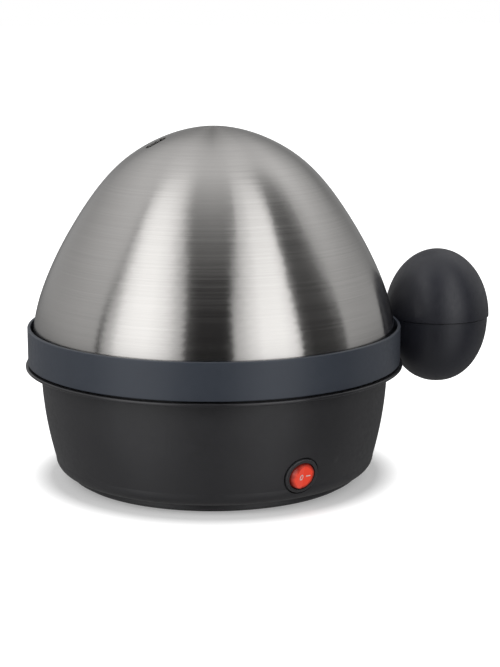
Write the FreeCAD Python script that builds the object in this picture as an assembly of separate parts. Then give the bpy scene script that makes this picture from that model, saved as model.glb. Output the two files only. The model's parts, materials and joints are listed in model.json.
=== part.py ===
import FreeCAD, Part
import math
import os

os.makedirs("parts", exist_ok=True)

# An egg boiler: charcoal base with a heated water dish, a tray for seven eggs
# and a steel dome lid on a grey collar with an egg-shaped side handle.
# Millimetres. Z is up from the table, +X points along the handle.

# Collar band of the lid
band_radius = 88.5
band_wall = 1.4
band_low = 55.6
band_height = 17.3
band_edge_round = 0.45
ledge_thickness = 1.5
ledge_reach = 4.5

# Dome
dome_inset = 2.4
dome_rise = 102.1
dome_spring = 64.0
dome_sheet = 0.8
dome_foot_round = 1.3
dome_outline_shares = [(0.9777, 0.1567), (0.9203, 0.3036), (0.838, 0.4505), (0.735, 0.5975),
                       (0.6084, 0.7444), (0.4931, 0.8423), (0.3635, 0.9158), (0.216, 0.9696)]
vent_length = 10.5
vent_width = 5.0
vent_azimuth_deg = 183
vent_share = 0.799

# Clamp ring and its screws, inside the lid
clamp_ring_width = 2.8
clamp_ring_height = 2.2
collar_screw_count = 8
collar_screw_radius = 0.8
collar_screw_head_radius = 1.4
collar_screw_head_height = 0.8
collar_screw_length = 3.6

# Side handle
handle_gap = 0.3
handle_seam = 70.4
handle_upper_radius = 25.7
handle_upper_height = 33.0
handle_step = 0.65
handle_lower_height = 33.0
handle_lower_shares = [(0.95, 0.34), (0.815, 0.61), (0.58, 0.84), (0.31, 0.962)]
handle_wall = 2.2
handle_seam_gap = 0.4
handle_register_height = 2.4
handle_register_wall = 1.4
neck_width = 17.0
neck_height = 8.0
neck_low = 60.0
neck_plate_thickness = 3.0
neck_plate_low = 64.0
handle_screw_offset = 8.0
handle_screw_radius = 1.45
handle_screw_head_radius = 2.8
handle_screw_head_height = 2.0
handle_screw_seat = 58.0
handle_screw_length = 19.0
handle_boss_radius = 4.6

# Base housing
lip_reach = 1.2
lip_top = 54.9
lip_thickness = 1.5
lip_round = 0.6
upstand_inset = 2.5
upstand_wall = 2.2
upstand_height = 2.5
mouth_inset = 5.5
wall_inset = 7.2
wall_middle_inset = 1.65
wall_foot_inset = 6.1
wall_foot_height = 10.6
corner_inset = 7.4
corner_height = 6.6
bottom_inset = 9.6
bottom_height = 4.7
base_wall = 2.4
cover_mouth_inset = 12.3
rib_thickness = 2.4

# Bottom cover and feet
cover_gap = 0.6
cover_low = 1.5
cover_thickness = 2.2
cover_rim_height = 4.2
cover_screw_inset = 8.6
cover_screw_first_deg = 60.0
cover_boss_radius = 4.0
cover_boss_height = 20.0
cover_rib_rise = 8.0
cover_screw_radius = 1.2
cover_screw_head_radius = 2.8
cover_screw_head_height = 1.2
cover_screw_length = 14.0
foot_inset = 11.6
foot_radius = 6.0
foot_pocket = 1.0
foot_count = 4
stand_ring_inset = 2.6
stand_ring_width = 2.0
stand_ring_rise = 0.2

# Water dish, seal and studs
dish_flange_gap = 0.6
dish_gap = 1.6
dish_sheet = 0.8
dish_bottom = 42.0
dish_corner_round = 8.0
seal_thickness = 1.0
seal_width = 5.8
stud_circle_share = 0.7294
stud_radius = 2.0
stud_length = 21.0
nut_across_flats = 7.0
nut_height = 3.0

# Heater under the dish
spreader_share = 0.6631
spreader_thickness = 2.0
spreader_hole_radius = 10.0
element_circle_share = 0.504
element_radius = 3.3
element_end_deg = 145.0
element_bend_radius = 8.0
element_end_height = 27.0
bead_radius = 3.9
bead_height = 2.0

# Spider that holds the dish down on the housing
spider_low = 28.0
spider_thickness = 1.5
spider_hub_radius = 18.0
spider_hole_radius = 8.5
spider_arm_width = 10.0
spider_arm_end = 4.0
spider_boss_inset = 14.5
spider_boss_radius = 3.6
spider_boss_height = 10.5
spider_screw_radius = 1.4
spider_screw_head_radius = 2.7
spider_screw_head_height = 2.0
spider_screw_length = 10.0
spider_arm_count = 3

# Thermostat on the hub
thermostat_radius = 9.5
thermostat_height = 7.5
thermostat_cap_radius = 8.0
bracket_thickness = 0.8
bracket_width = 8.0
bracket_reach = 17.0
bracket_ring_radius = 9.5
bracket_screw_offset = 14.0
bracket_screw_radius = 1.45
bracket_screw_head_radius = 2.6
bracket_screw_head_height = 1.6
small_nut_across_flats = 5.5
small_nut_height = 2.4
terminal_offset = 4.5

# Thermal fuse under one spider arm
fuse_circle = 33.0
fuse_radius = 1.9
fuse_length = 12.0
sleeve_radius = 2.6
sleeve_length = 20.0
clip_thickness = 0.6
clip_width = 6.0
fuse_azimuth_deg = 240.0

# Spade tabs, receptacles and leads
tab_width = 6.3
tab_thickness = 0.8
tab_length = 9.5
small_tab_width = 4.8
receptacle_wall = 0.7
receptacle_length = 8.0
barrel_radius = 1.6
barrel_length = 2.5
lead_radius = 1.1
bend_share = 0.45

# Routes of the leads between their straight ends, as shares of the stud circle
# and of the room's height between the bottom cover and the spider
live_route_shares = [(0.182, 0.073, 0.177), (0.218, -0.364, 0.342)]
switched_route_shares = [(0.0, -0.745, 0.794), (-0.145, -0.764, 0.753), (-0.345, -0.827, 0.774)]
fuse_route_shares = [(-0.164, -0.282, 0.383), (-0.064, -0.155, 0.156)]
element_route_shares = [(-0.073, 0.102, 0.16), (-0.309, 0.182, 0.1)]
neutral_route_shares = [(-0.127, 0.073, 0.383), (-0.364, -0.2, 0.15)]
lamp_route_shares = [(0.073, 0.145, 0.424), (0.255, 0.036, 0.465), (0.345, -0.291, 0.465),
                     (0.345, -0.582, 0.671)]
earth_route_shares = [(-0.327, 0.218, 0.383), (-0.436, 0.364, 0.63)]
lead_stub = 7.0
lead_short_stub = 4.5
lead_middle_stub = 6.0

# Egg tray
tray_flange_gap = 0.8
tray_gap = 0.8
tray_wall = 2.0
tray_skirt_low = 50.0
tray_deck_low = 66.0
tray_deck_thickness = 2.0
egg_hole_share = 0.2371
egg_circle_share = 0.664
egg_ring_count = 6
cup_wall = 1.8
cup_depth = 4.0
steam_hole_radius = 3.0
steam_inner_share = 0.3794
steam_outer_share = 0.8943
tab_grip_width = 30.0
tab_grip_thickness = 2.6
tab_grip_height = 25.0
tab_grip_inset = 2.8
tab_slot_width = 16.0
tab_slot_height = 9.0
tab_slot_low = 10.0

# Rocker switch in the front wall
switch_azimuth_deg = -76.0
switch_height = 16.6
switch_wall_inset = 4.6
switch_tilt_deg = 13.3
recess_radius = 8.9
recess_depth = 1.5
switch_boss_radius = 11.3
switch_boss_depth = 5.0
bezel_radius = 8.25
bezel_height = 2.1
bezel_round = 0.5
switch_bore_radius = 6.65
switch_barrel_radius = 7.25
switch_barrel_depth = 14.0
switch_end_wall = 1.5
snap_length = 2.0
snap_height = 0.5
snap_width = 4.0
rocker_sphere_radius = 6.38
rocker_valley = 2.4
rocker_depth = 4.5
rocker_pivot_depth = 1.5
rocker_half_angle_deg = 12.0
rocker_stem_radius = 2.4
rocker_stem_length = 1.5
pivot_pin_radius = 0.75
plunger_radius = 1.0
plunger_tip = 6.3
plunger_length = 2.6
spring_wire_radius = 0.14
spring_turns_count = 4
lamp_radius = 1.1
lamp_length = 5.0
lamp_offset = 3.2
lamp_depth = 1.4
mark_height = 0.15
mark_stroke = 0.5
mark_ring_radius = 1.35
mark_dash_length = 2.3
mark_ring_centre = 1.55
mark_dash_centre = 2.45
blade_length = 9.6
blade_width = 4.0
blade_thickness = 0.4
blade_height = 8.5
blade_tilt_deg = 4.8
contact_gap = 0.3
switch_terminal_pitch = 4.4
switch_tab_end = 22.0

# Cord inlet, clamp and terminal block at the back
cord_azimuth_deg = 104.0
cord_height = 14.0
cord_wall_inset = 5.25
cord_tilt_deg = 14.5
cord_bore_radius = 3.5
bushing_radius = 5.4
bushing_flange_radius = 7.6
bushing_flange_height = 2.0
bushing_depth = 9.0
bushing_nut_radius = 7.2
bushing_nut_height = 2.6
bushing_boss_radius = 10.0
bushing_recess_depth = 0.9
clamp_circle_share = 0.6681
clamp_post_offset = 9.0
clamp_post_radius = 3.4
clamp_post_height = 16.6
clamp_bar_thickness = 3.0
clamp_bar_width = 7.0
clamp_saddle_height = 8.8
clamp_screw_radius = 1.2
clamp_screw_head_radius = 2.6
clamp_screw_head_height = 1.8
clamp_screw_length = 10.0
block_circle_share = 0.431
block_length = 27.0
block_width = 17.0
block_height = 13.0
block_bore_radius = 3.0
block_bore_height = 5.3
block_pitch = 8.0
insert_wall = 0.5
block_screw_radius = 1.2
block_screw_length = 5.0
block_screw_head_radius = 1.8
block_screw_head_height = 1.4
block_screw_offset = 4.0
twin_lead_offset = 1.15

# Fits and cutting
clearance = 0.3
shaft_clearance = 0.05
overrun = 5.0
washer_radius = 4.2

V = FreeCAD.Vector
up = V(0, 0, 1)

dome_radius = band_radius - dome_inset
ledge_inner_radius = dome_radius - ledge_reach
handle_distance = band_radius + handle_upper_radius + handle_gap
handle_lower_radius = handle_upper_radius - handle_step
lip_radius = band_radius + lip_reach
upstand_radius = band_radius - upstand_inset
wall_top_radius = lip_radius - wall_inset
wall_middle_radius = wall_top_radius - wall_middle_inset
wall_foot_radius = wall_top_radius - wall_foot_inset
corner_radius = wall_top_radius - corner_inset
bottom_radius = wall_top_radius - bottom_inset
mouth_radius = wall_top_radius - mouth_inset
cover_mouth_radius = wall_top_radius - cover_mouth_inset
cover_radius = cover_mouth_radius - cover_gap
cover_screw_circle = cover_radius - cover_screw_inset
foot_circle = cover_radius - foot_inset
stand_ring_radius = cover_radius - stand_ring_inset
clamp_circle = clamp_circle_share * cover_radius
block_circle = block_circle_share * cover_radius
dish_flange_radius = upstand_radius - upstand_wall - dish_flange_gap
dish_radius = mouth_radius - dish_gap
seal_inner_radius = dish_flange_radius - seal_width
stud_circle = stud_circle_share * dish_radius
spreader_radius = spreader_share * dish_radius
element_circle = element_circle_share * dish_radius
spider_boss_circle = wall_top_radius - spider_boss_inset
spider_arm_reach = spider_boss_circle + spider_arm_end
tray_flange_radius = ledge_inner_radius - tray_flange_gap
tray_radius = dish_radius - dish_sheet - tray_gap
egg_circle = egg_circle_share * tray_radius
egg_hole_radius = egg_hole_share * tray_radius
steam_circle_inner = steam_inner_share * tray_radius
steam_circle_outer = steam_outer_share * tray_radius
tab_grip_centre = tray_radius - tab_grip_inset
switch_wall_radius = wall_top_radius - switch_wall_inset
cord_wall_radius = wall_top_radius - cord_wall_inset

band_top = band_low + band_height
upstand_top = lip_top + upstand_height
ledge_low = upstand_top + clearance
ledge_top = ledge_low + ledge_thickness
dome_top = dome_spring + dome_rise
lip_low = lip_top - lip_thickness
cover_top = cover_low + cover_thickness
dish_flange_low = lip_top + seal_thickness
dish_flange_top = dish_flange_low + dish_sheet
tray_low = dish_flange_top + clearance
tray_deck_top = tray_deck_low + tray_deck_thickness
spreader_low = dish_bottom - spreader_thickness
element_height = spreader_low - element_radius
spider_top = spider_low + spider_thickness
wire_room_height = spider_low - cover_top
rocker_pivot_level = -rocker_pivot_depth


def save(name, shape):
    shape.exportStep(os.path.join("parts", name + ".step"))


def disc(radius, low, high, x=0, y=0):
    return Part.makeCylinder(radius, high - low, V(x, y, low))


def ring(outer, inner, low, high, x=0, y=0):
    return disc(outer, low, high, x, y).cut(disc(inner, low, high, x, y))


def block(x_low, x_high, y_low, y_high, z_low, z_high):
    size = (x_high - x_low, y_high - y_low, z_high - z_low)
    return Part.makeBox(*size, V(x_low, y_low, z_low))


def hexagon(across_flats, low, high, hole_radius):
    corner = across_flats / math.sqrt(3)
    angles = [math.radians(60 * turn) for turn in range(7)]
    points = [V(corner * math.cos(angle), corner * math.sin(angle), low) for angle in angles]
    solid = Part.Face(Part.makePolygon(points)).extrude(V(0, 0, high - low))
    return solid.cut(disc(hole_radius, low, high))


def moved(shape, x=0, y=0, z=0):
    place = FreeCAD.Placement(V(x, y, z), FreeCAD.Rotation())
    return shape.transformed(place.toMatrix())


def turned_about(shape, axis, angle, centre=V(0, 0, 0)):
    place = FreeCAD.Placement(V(0, 0, 0), FreeCAD.Rotation(axis, angle), centre)
    return shape.transformed(place.toMatrix())


def at_azimuth(shape, angle):
    return turned_about(shape, up, angle)


def placed(shape, place):
    return shape.transformed(place.toMatrix())


def spun(edges):
    face = Part.Face(Part.Wire(Part.sortEdges(edges)[0]))
    return face.revolve(V(0, 0, 0), up, 360)


def line(start, end):
    return Part.LineSegment(V(start[0], 0, start[1]), V(end[0], 0, end[1])).toShape()


def lines(points):
    return [line(start, end) for start, end in zip(points, points[1:])]


def arc(start, middle, end):
    points = [V(radius, 0, height) for radius, height in (start, middle, end)]
    return Part.Arc(*points).toShape()


def curve(points, first_tangent, last_tangent):
    spline = Part.BSplineCurve()
    spline.interpolate(
        Points=[V(radius, 0, height) for radius, height in points],
        InitialTangent=first_tangent,
        FinalTangent=last_tangent,
        Scale=False,
    )
    return spline


def round_edges(shape, size, radius, height):
    """Rounds the circular edges of this radius at this height."""
    picked = []
    for edge in shape.Edges:
        circle = edge.Curve
        if isinstance(circle, Part.Circle) and abs(circle.Radius - radius) < size / 10:
            if abs(circle.Center.z - height) < size / 10:
                picked.append(edge)
    return shape.makeFillet(size, picked)


def wall_frame(azimuth, radius, height, tilt):
    """Local frame on the base wall: x to the right, y up the wall, z outwards."""
    place = FreeCAD.Placement(V(radius, 0, height), FreeCAD.Rotation())
    place = FreeCAD.Placement(V(0, 0, 0), FreeCAD.Rotation(up, azimuth)).multiply(place)
    upright = FreeCAD.Rotation(up, 90).multiply(FreeCAD.Rotation(V(1, 0, 0), 90 + tilt))
    return place.multiply(FreeCAD.Placement(V(0, 0, 0), upright))


switch_frame = wall_frame(switch_azimuth_deg, switch_wall_radius, switch_height, switch_tilt_deg)
cord_frame = wall_frame(cord_azimuth_deg, cord_wall_radius, cord_height, cord_tilt_deg)


# Lid

def dome_curve(radius, top):
    rise = top - dome_spring
    points = [(radius, dome_spring)]
    points += [(radius * across, dome_spring + rise * above)
               for across, above in dome_outline_shares]
    points += [(0, top)]
    return curve(points, up, V(-1, 0, 0))


def dome_foot(radius, level, side):
    shoulder = radius - side
    bend = side * (1 - math.sin(math.radians(45)))
    corner = arc((shoulder, level), (radius - bend, level + bend), (radius, level + side))
    return [line((ledge_inner_radius + clearance, level), (shoulder, level)), corner,
            line((radius, level + side), (radius, dome_spring))]


def lid_dome():
    inner_radius = dome_radius - dome_sheet
    inner_top = dome_top - dome_sheet
    outer = dome_curve(dome_radius, dome_top)
    inner = dome_curve(inner_radius, inner_top)
    edges = [outer.toShape(), inner.toShape(), line((0, inner_top), (0, dome_top))]
    edges += dome_foot(dome_radius, ledge_top, dome_foot_round)
    edges += dome_foot(inner_radius, ledge_top + dome_sheet, dome_foot_round - dome_sheet)
    foot = ledge_inner_radius + clearance
    edges += [line((foot, ledge_top), (foot, ledge_top + dome_sheet))]
    dome = spun(edges)
    first, last = outer.FirstParameter, outer.LastParameter
    place = first + vent_share * (last - first)
    point, slope = outer.value(place), outer.tangent(place)[0]
    steepness = math.degrees(math.atan2(abs(slope.z), abs(slope.x)))
    slot = rounded_slot(vent_length, vent_width, -overrun, overrun)
    slot = turned_about(slot, V(0, 1, 0), steepness)
    slot = at_azimuth(moved(slot, point.x, 0, point.z), vent_azimuth_deg)
    dome = dome.cut(slot)
    screw_hole = disc(collar_screw_radius + shaft_clearance, ledge_low, dome_spring)
    for hole in collar_screw_places(screw_hole):
        dome = dome.cut(hole)
    return dome


def rounded_slot(length, width, low, high):
    side = width / 2
    reach = length / 2 - side
    slot = block(-reach, reach, -side, side, low, high)
    return slot.fuse([disc(side, low, high, -reach), disc(side, low, high, reach)]).removeSplitter()


def collar_screw_places(shape):
    circle = ledge_inner_radius + clearance + clamp_ring_width / 2
    step = 360 / collar_screw_count
    return [at_azimuth(moved(shape, circle), step * (turn + 0.5))
            for turn in range(collar_screw_count)]


def lid_collar():
    inner = band_radius - band_wall
    band = ring(band_radius, inner, band_low, band_top)
    band = round_edges(band, band_edge_round, band_radius, band_top)
    band = round_edges(band, band_edge_round, band_radius, band_low)
    ledge = ring(inner + band_wall / 2, ledge_inner_radius, ledge_low, ledge_top)
    side = neck_width / 2
    neck_start = inner + band_wall / 3
    neck_end = handle_distance - handle_lower_radius + handle_wall * 2
    neck = block(neck_start, neck_end, -side, side, neck_low, neck_low + neck_height)
    plate_reach = handle_distance + handle_screw_offset
    plate_top = neck_plate_low + neck_plate_thickness
    plate = block(neck_start, plate_reach, -side, side, neck_plate_low, plate_top)
    plate = plate.fuse(disc(side, neck_plate_low, plate_top, plate_reach))
    collar = band.fuse([ledge, neck, plate]).removeSplitter()
    screw_hole = disc(collar_screw_radius + shaft_clearance, band_low, band_top)
    seat_top = ledge_low + collar_screw_head_height
    seat = disc(collar_screw_head_radius + shaft_clearance, band_low, seat_top)
    for hole in collar_screw_places(screw_hole.fuse(seat)):
        collar = collar.cut(hole)
    for side in (-1, 1):
        x = handle_distance + side * handle_screw_offset
        collar = collar.cut(disc(handle_screw_radius + clearance, neck_low, band_top, x))
    return collar


def lid_clamp_ring():
    low = ledge_top + dome_sheet
    inner = ledge_inner_radius + clearance
    clamp = ring(inner + clamp_ring_width, inner, low, low + clamp_ring_height)
    screw_hole = disc(collar_screw_radius + shaft_clearance, band_low, band_top)
    for hole in collar_screw_places(screw_hole):
        clamp = clamp.cut(hole)
    return clamp


def collar_screws():
    head_top = ledge_low + collar_screw_head_height
    head = disc(collar_screw_head_radius, ledge_low, head_top)
    screw = head.fuse(disc(collar_screw_radius, head_top, ledge_low + collar_screw_length))
    return Part.makeCompound(collar_screw_places(screw.removeSplitter()))


def upper_egg(inset):
    radius = handle_upper_radius - inset
    top = handle_seam + handle_upper_height - inset
    outline = Part.Ellipse(V(0, 0, top), V(radius, 0, handle_seam), V(0, 0, handle_seam))
    quarter = Part.ArcOfEllipse(outline, 0, math.pi / 2).toShape()
    return spun([quarter] + lines([(radius, handle_seam), (0, handle_seam), (0, top)]))


def lower_egg(inset):
    radius = handle_lower_radius - inset
    depth = handle_lower_height - inset
    points = [(radius, handle_seam)]
    points += [(radius * across, handle_seam - depth * below)
               for across, below in handle_lower_shares]
    points += [(0, handle_seam - depth)]
    outline = curve(points, V(0, 0, -1), V(-1, 0, 0)).toShape()
    return spun([outline] + lines([points[0], (0, handle_seam), points[-1]]))


def handle_upper_shell():
    whole = upper_egg(0)
    hollow = upper_egg(handle_wall)
    shell = whole.cut(hollow)
    plate_top = neck_plate_low + neck_plate_thickness
    above_seam = disc(handle_upper_radius + overrun, handle_seam + handle_seam_gap / 2, dome_top)
    shell = shell.common(above_seam)
    room = whole.fuse(disc(handle_upper_radius - handle_wall * 2, plate_top, handle_seam))
    pilot_top = handle_screw_seat + handle_screw_length + clearance
    for side in (-1, 1):
        x = side * handle_screw_offset
        post = disc(handle_boss_radius, plate_top, dome_top, x).common(room)
        pilot = disc(handle_screw_radius + shaft_clearance, plate_top, pilot_top, x)
        shell = shell.fuse(post).cut(pilot)
    return moved(shell.removeSplitter(), handle_distance)


def handle_lower_shell():
    whole = lower_egg(0)
    shell = whole.cut(lower_egg(handle_wall))
    seam = handle_seam - handle_seam_gap / 2
    shell = shell.common(disc(handle_upper_radius + overrun, 0, seam))
    register = handle_upper_radius - handle_wall - clearance
    wall = ring(register, register - handle_register_wall,
                seam - handle_register_height, seam + handle_register_height)
    shell = shell.fuse(wall)
    access = handle_screw_head_radius + clearance
    for side in (-1, 1):
        x = side * handle_screw_offset
        shell = shell.fuse(disc(handle_boss_radius, 0, neck_plate_low, x).common(whole))
        shell = shell.cut(disc(access, 0, handle_screw_seat, x))
        shell = shell.cut(disc(handle_screw_radius + clearance, 0, neck_plate_low, x))
    side = neck_width / 2 + clearance
    window_end = -handle_lower_radius + handle_wall * 2 + clearance
    window = block(-handle_lower_radius - overrun, window_end, -side, side,
                   neck_low - clearance, neck_low + neck_height + clearance)
    return moved(shell.cut(window).removeSplitter(), handle_distance)


def handle_screws():
    screws = []
    head_low = handle_screw_seat - handle_screw_head_height
    shank_top = handle_screw_seat + handle_screw_length
    for side in (-1, 1):
        x = handle_distance + side * handle_screw_offset
        head = disc(handle_screw_head_radius, head_low, handle_screw_seat, x)
        shank = disc(handle_screw_radius, handle_screw_seat, shank_top, x)
        screws.append(head.fuse(shank).removeSplitter())
    return Part.makeCompound(screws)


# Egg tray

def egg_tray():
    inner = tray_radius - tray_wall
    rim_top = tray_low + tray_wall
    outline = [(0, tray_deck_low), (inner, tray_deck_low), (inner, tray_skirt_low),
               (tray_radius, tray_skirt_low), (tray_radius, tray_low), (tray_flange_radius, tray_low),
               (tray_flange_radius, rim_top), (tray_radius, rim_top), (tray_radius, tray_deck_top),
               (0, tray_deck_top), (0, tray_deck_low)]
    tray = spun(lines(outline))
    step = 360 / egg_ring_count
    egg_places = [(0, 0)]
    for turn in range(egg_ring_count):
        egg_places.append(polar(egg_circle, step * turn))
    cup_low = tray_deck_low - cup_depth
    for x, y in egg_places:
        tray = tray.fuse(disc(egg_hole_radius + cup_wall, cup_low, tray_deck_top, x, y))
    for x, y in egg_places:
        tray = tray.cut(disc(egg_hole_radius, cup_low - overrun, tray_deck_top + overrun, x, y))
        tray = tray.cut(egg_seat(x, y))
    for turn in range(egg_ring_count):
        for circle in (steam_circle_inner, steam_circle_outer):
            x, y = polar(circle, step * (turn + 0.5))
            tray = tray.cut(disc(steam_hole_radius, tray_deck_low - overrun, tray_deck_top + overrun, x, y))
    grips = [lift_tab(), turned_about(lift_tab(), up, 180)]
    return tray.fuse(grips).removeSplitter()


def egg_seat(x, y):
    edge = cup_wall / 2
    return Part.makeCone(egg_hole_radius, egg_hole_radius + edge, edge, V(x, y, tray_deck_top - edge))


def lift_tab():
    half = tab_grip_width / 2
    top = tray_deck_top + tab_grip_height
    low = tab_grip_centre - tab_grip_thickness / 2
    high = tab_grip_centre + tab_grip_thickness / 2
    body = block(-half, half, low, high, tray_deck_low, top - half / 2)
    cap = Part.makeCylinder(half, tab_grip_thickness, V(0, low, top - half), V(0, 1, 0))
    body = body.fuse(cap.common(block(-half, half, low, high, tray_deck_top, top)))
    side = tab_slot_height / 2
    reach = tab_slot_width / 2 - side
    middle = tray_deck_top + tab_slot_low + side
    slot = block(-reach, reach, low - overrun, high + overrun, middle - side, middle + side)
    depth = tab_grip_thickness + 2 * overrun
    for x in (-reach, reach):
        slot = slot.fuse(Part.makeCylinder(side, depth, V(x, low - overrun, middle), V(0, 1, 0)))
    return body.cut(slot).removeSplitter()


def polar(radius, angle):
    return radius * math.cos(math.radians(angle)), radius * math.sin(math.radians(angle))


# Base housing

def outer_wall_edges():
    middle = (lip_low + wall_foot_height) / 2
    wall = arc((wall_top_radius, lip_low), (wall_middle_radius, middle),
               (wall_foot_radius, wall_foot_height))
    corner = arc((wall_foot_radius, wall_foot_height), (corner_radius, corner_height),
                 (bottom_radius, bottom_height))
    return [wall, corner]


def inner_wall_edges():
    middle = (lip_low + wall_foot_height) / 2
    floor = bottom_height + base_wall
    top = (wall_top_radius - base_wall, lip_low)
    foot = (wall_foot_radius - base_wall, wall_foot_height + base_wall / 2)
    wall = arc(top, (wall_middle_radius - base_wall, middle), foot)
    corner = (bottom_radius - base_wall / 2, floor)
    return [wall] + lines([foot, corner, (cover_mouth_radius, floor)])


def filled_base():
    outline = lines([(0, lip_low), (wall_top_radius, lip_low)])
    bottom = lines([(bottom_radius, bottom_height), (0, bottom_height), (0, lip_low)])
    return spun(outline + outer_wall_edges() + bottom)


def base_housing():
    inner_upstand = upstand_radius - upstand_wall
    edges = lines([
        (wall_top_radius, lip_low), (lip_radius, lip_low), (lip_radius, lip_top),
        (upstand_radius, lip_top), (upstand_radius, upstand_top), (inner_upstand, upstand_top),
        (inner_upstand, lip_top), (mouth_radius, lip_top), (mouth_radius, lip_low),
        (wall_top_radius - base_wall, lip_low)])
    edges += outer_wall_edges() + inner_wall_edges()
    edges += lines([(bottom_radius, bottom_height), (cover_mouth_radius, bottom_height),
                    (cover_mouth_radius, bottom_height + base_wall)])
    housing = spun(edges)
    housing = round_edges(housing, lip_round, lip_radius, lip_top)
    housing = round_edges(housing, lip_round, lip_radius, lip_low)
    room = filled_base().fuse(disc(cover_screw_circle + cover_boss_radius, cover_top, lip_low))
    housing = housing.fuse([feature.common(room) for feature in housing_bosses()])
    cuts = [placed(disc(recess_radius, -recess_depth, overrun), switch_frame),
            placed(disc(switch_barrel_radius + shaft_clearance, -overrun * 2, overrun), switch_frame),
            placed(disc(bushing_flange_radius + clearance, -bushing_recess_depth, overrun), cord_frame),
            placed(disc(bushing_radius + shaft_clearance, -overrun * 2, overrun), cord_frame)]
    pilot = disc(spider_screw_radius + shaft_clearance, spider_low, spider_low + spider_screw_length)
    cuts += arm_places(pilot, spider_boss_circle)
    pilot = disc(cover_screw_radius + shaft_clearance, cover_low, cover_top + cover_screw_length)
    cuts += cover_places(pilot)
    for cut in cuts:
        housing = housing.cut(cut)
    return housing.removeSplitter()


def housing_bosses():
    """Bosses at the switch, the cord inlet and the screws, with ribs to the wall."""
    bosses = [placed(disc(switch_boss_radius, -switch_boss_depth, overrun), switch_frame),
              placed(disc(bushing_boss_radius, -switch_boss_depth, overrun), cord_frame)]
    half = rib_thickness / 2
    top = spider_top + spider_boss_height
    boss = disc(spider_boss_radius, spider_top, top)
    rib = block(0, lip_radius - spider_boss_circle, -half, half, spider_top, top)
    bosses += arm_places(boss.fuse(rib), spider_boss_circle)
    top = cover_top + cover_boss_height
    boss = disc(cover_boss_radius, cover_top, top)
    rib = block(0, lip_radius - cover_screw_circle, -half, half, cover_top + cover_rib_rise, top)
    return bosses + cover_places(boss.fuse(rib))


# Bottom cover, its screws and the feet

def cover_places(shape):
    step = 360 / spider_arm_count
    return [at_azimuth(moved(shape, cover_screw_circle), cover_screw_first_deg + step * turn)
            for turn in range(spider_arm_count)]


def foot_places(shape):
    step = 360 / foot_count
    return [at_azimuth(moved(shape, foot_circle), step * (turn + 0.5)) for turn in range(foot_count)]


def bottom_cover():
    """Cover disc with a moulded stand ring that ends just above the table."""
    cover = disc(cover_radius, cover_low, cover_top)
    rim = ring(cover_radius, cover_radius - cover_thickness, cover_low, cover_top + cover_rim_height)
    stand_ring = ring(stand_ring_radius, stand_ring_radius - stand_ring_width, stand_ring_rise, cover_top)
    cover = cover.fuse([rim, stand_ring]).removeSplitter()
    cover = round_edges(cover, lip_round, cover_radius, cover_low)
    head = disc(cover_screw_head_radius + clearance, 0, cover_low + cover_screw_head_height)
    shank = disc(cover_screw_radius + clearance, 0, cover_top)
    for hole in cover_places(head.fuse(shank)):
        cover = cover.cut(hole)
    for pocket in foot_places(disc(foot_radius, 0, cover_low + foot_pocket)):
        cover = cover.cut(pocket)
    for post in clamp_places(disc(clamp_post_radius, cover_top, cover_top + clamp_post_height)):
        cover = cover.fuse(post)
    pilot = disc(clamp_screw_radius + shaft_clearance, clamp_screw_low(), clamp_bar_top())
    for hole in clamp_places(pilot):
        cover = cover.cut(hole)
    side = clamp_post_offset
    width = clamp_bar_width / 2
    saddle = block(clamp_circle - width, clamp_circle + width, -side, side, cover_top,
                   cover_top + clamp_saddle_height)
    return cover.fuse(at_azimuth(saddle, cord_azimuth_deg)).removeSplitter()


def cover_screws():
    seat = cover_low + cover_screw_head_height
    head = disc(cover_screw_head_radius, cover_low + clearance / 2, seat)
    shank = disc(cover_screw_radius, seat, seat + cover_screw_length)
    return Part.makeCompound(cover_places(head.fuse(shank).removeSplitter()))


def rubber_foot():
    foot = disc(foot_radius - shaft_clearance, 0, cover_low + foot_pocket)
    return round_edges(foot, lip_round, foot_radius - shaft_clearance, 0)


# Water dish, seal and studs

def dish_wall_edges(radius, level, side):
    floor_radius = radius - side
    bend = side * (1 - math.sin(math.radians(45)))
    corner = arc((floor_radius, level), (radius - bend, level + bend), (radius, level + side))
    return [line((0, level), (floor_radius, level)), corner]


def heating_dish():
    inner = dish_radius - dish_sheet
    floor = dish_bottom + dish_sheet
    edges = dish_wall_edges(dish_radius, dish_bottom, dish_corner_round)
    edges += dish_wall_edges(inner, floor, dish_corner_round - dish_sheet)
    corner_top = dish_bottom + dish_corner_round
    edges += lines([(dish_radius, corner_top), (dish_radius, dish_flange_low),
                    (dish_flange_radius, dish_flange_low), (dish_flange_radius, dish_flange_top),
                    (inner, dish_flange_top), (inner, corner_top)])
    edges += [line((0, dish_bottom), (0, floor))]
    return spun(edges)


def dish_seal():
    return ring(dish_flange_radius, seal_inner_radius, lip_top, dish_flange_low)


def arm_places(shape, circle=0):
    step = 360 / spider_arm_count
    return [at_azimuth(moved(shape, circle), step * turn) for turn in range(spider_arm_count)]


def dish_studs():
    stud = disc(stud_radius, dish_bottom - stud_length, dish_bottom)
    return Part.makeCompound(arm_places(stud, stud_circle))


def stud_nuts():
    nut = hexagon(nut_across_flats, spider_low - nut_height, spider_low, stud_radius + shaft_clearance)
    nuts = arm_places(nut, stud_circle)
    washer_low = spider_low - nut_height - tab_thickness
    earth_nut = hexagon(nut_across_flats, washer_low - nut_height, washer_low, stud_radius + shaft_clearance)
    nuts.append(at_azimuth(moved(earth_nut, stud_circle), 360 / spider_arm_count))
    return Part.makeCompound(nuts)


# Heater

def heat_spreader():
    return ring(spreader_radius, spreader_hole_radius, spreader_low, dish_bottom)


def element_end(side):
    angle = math.radians(side * element_end_deg)
    point = V(element_circle * math.cos(angle), element_circle * math.sin(angle), element_height)
    away = V(-math.sin(angle), math.cos(angle), 0).multiply(side)
    return point, away


def element_end_place(side):
    point, away = element_end(side)
    return point + away * element_bend_radius


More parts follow.
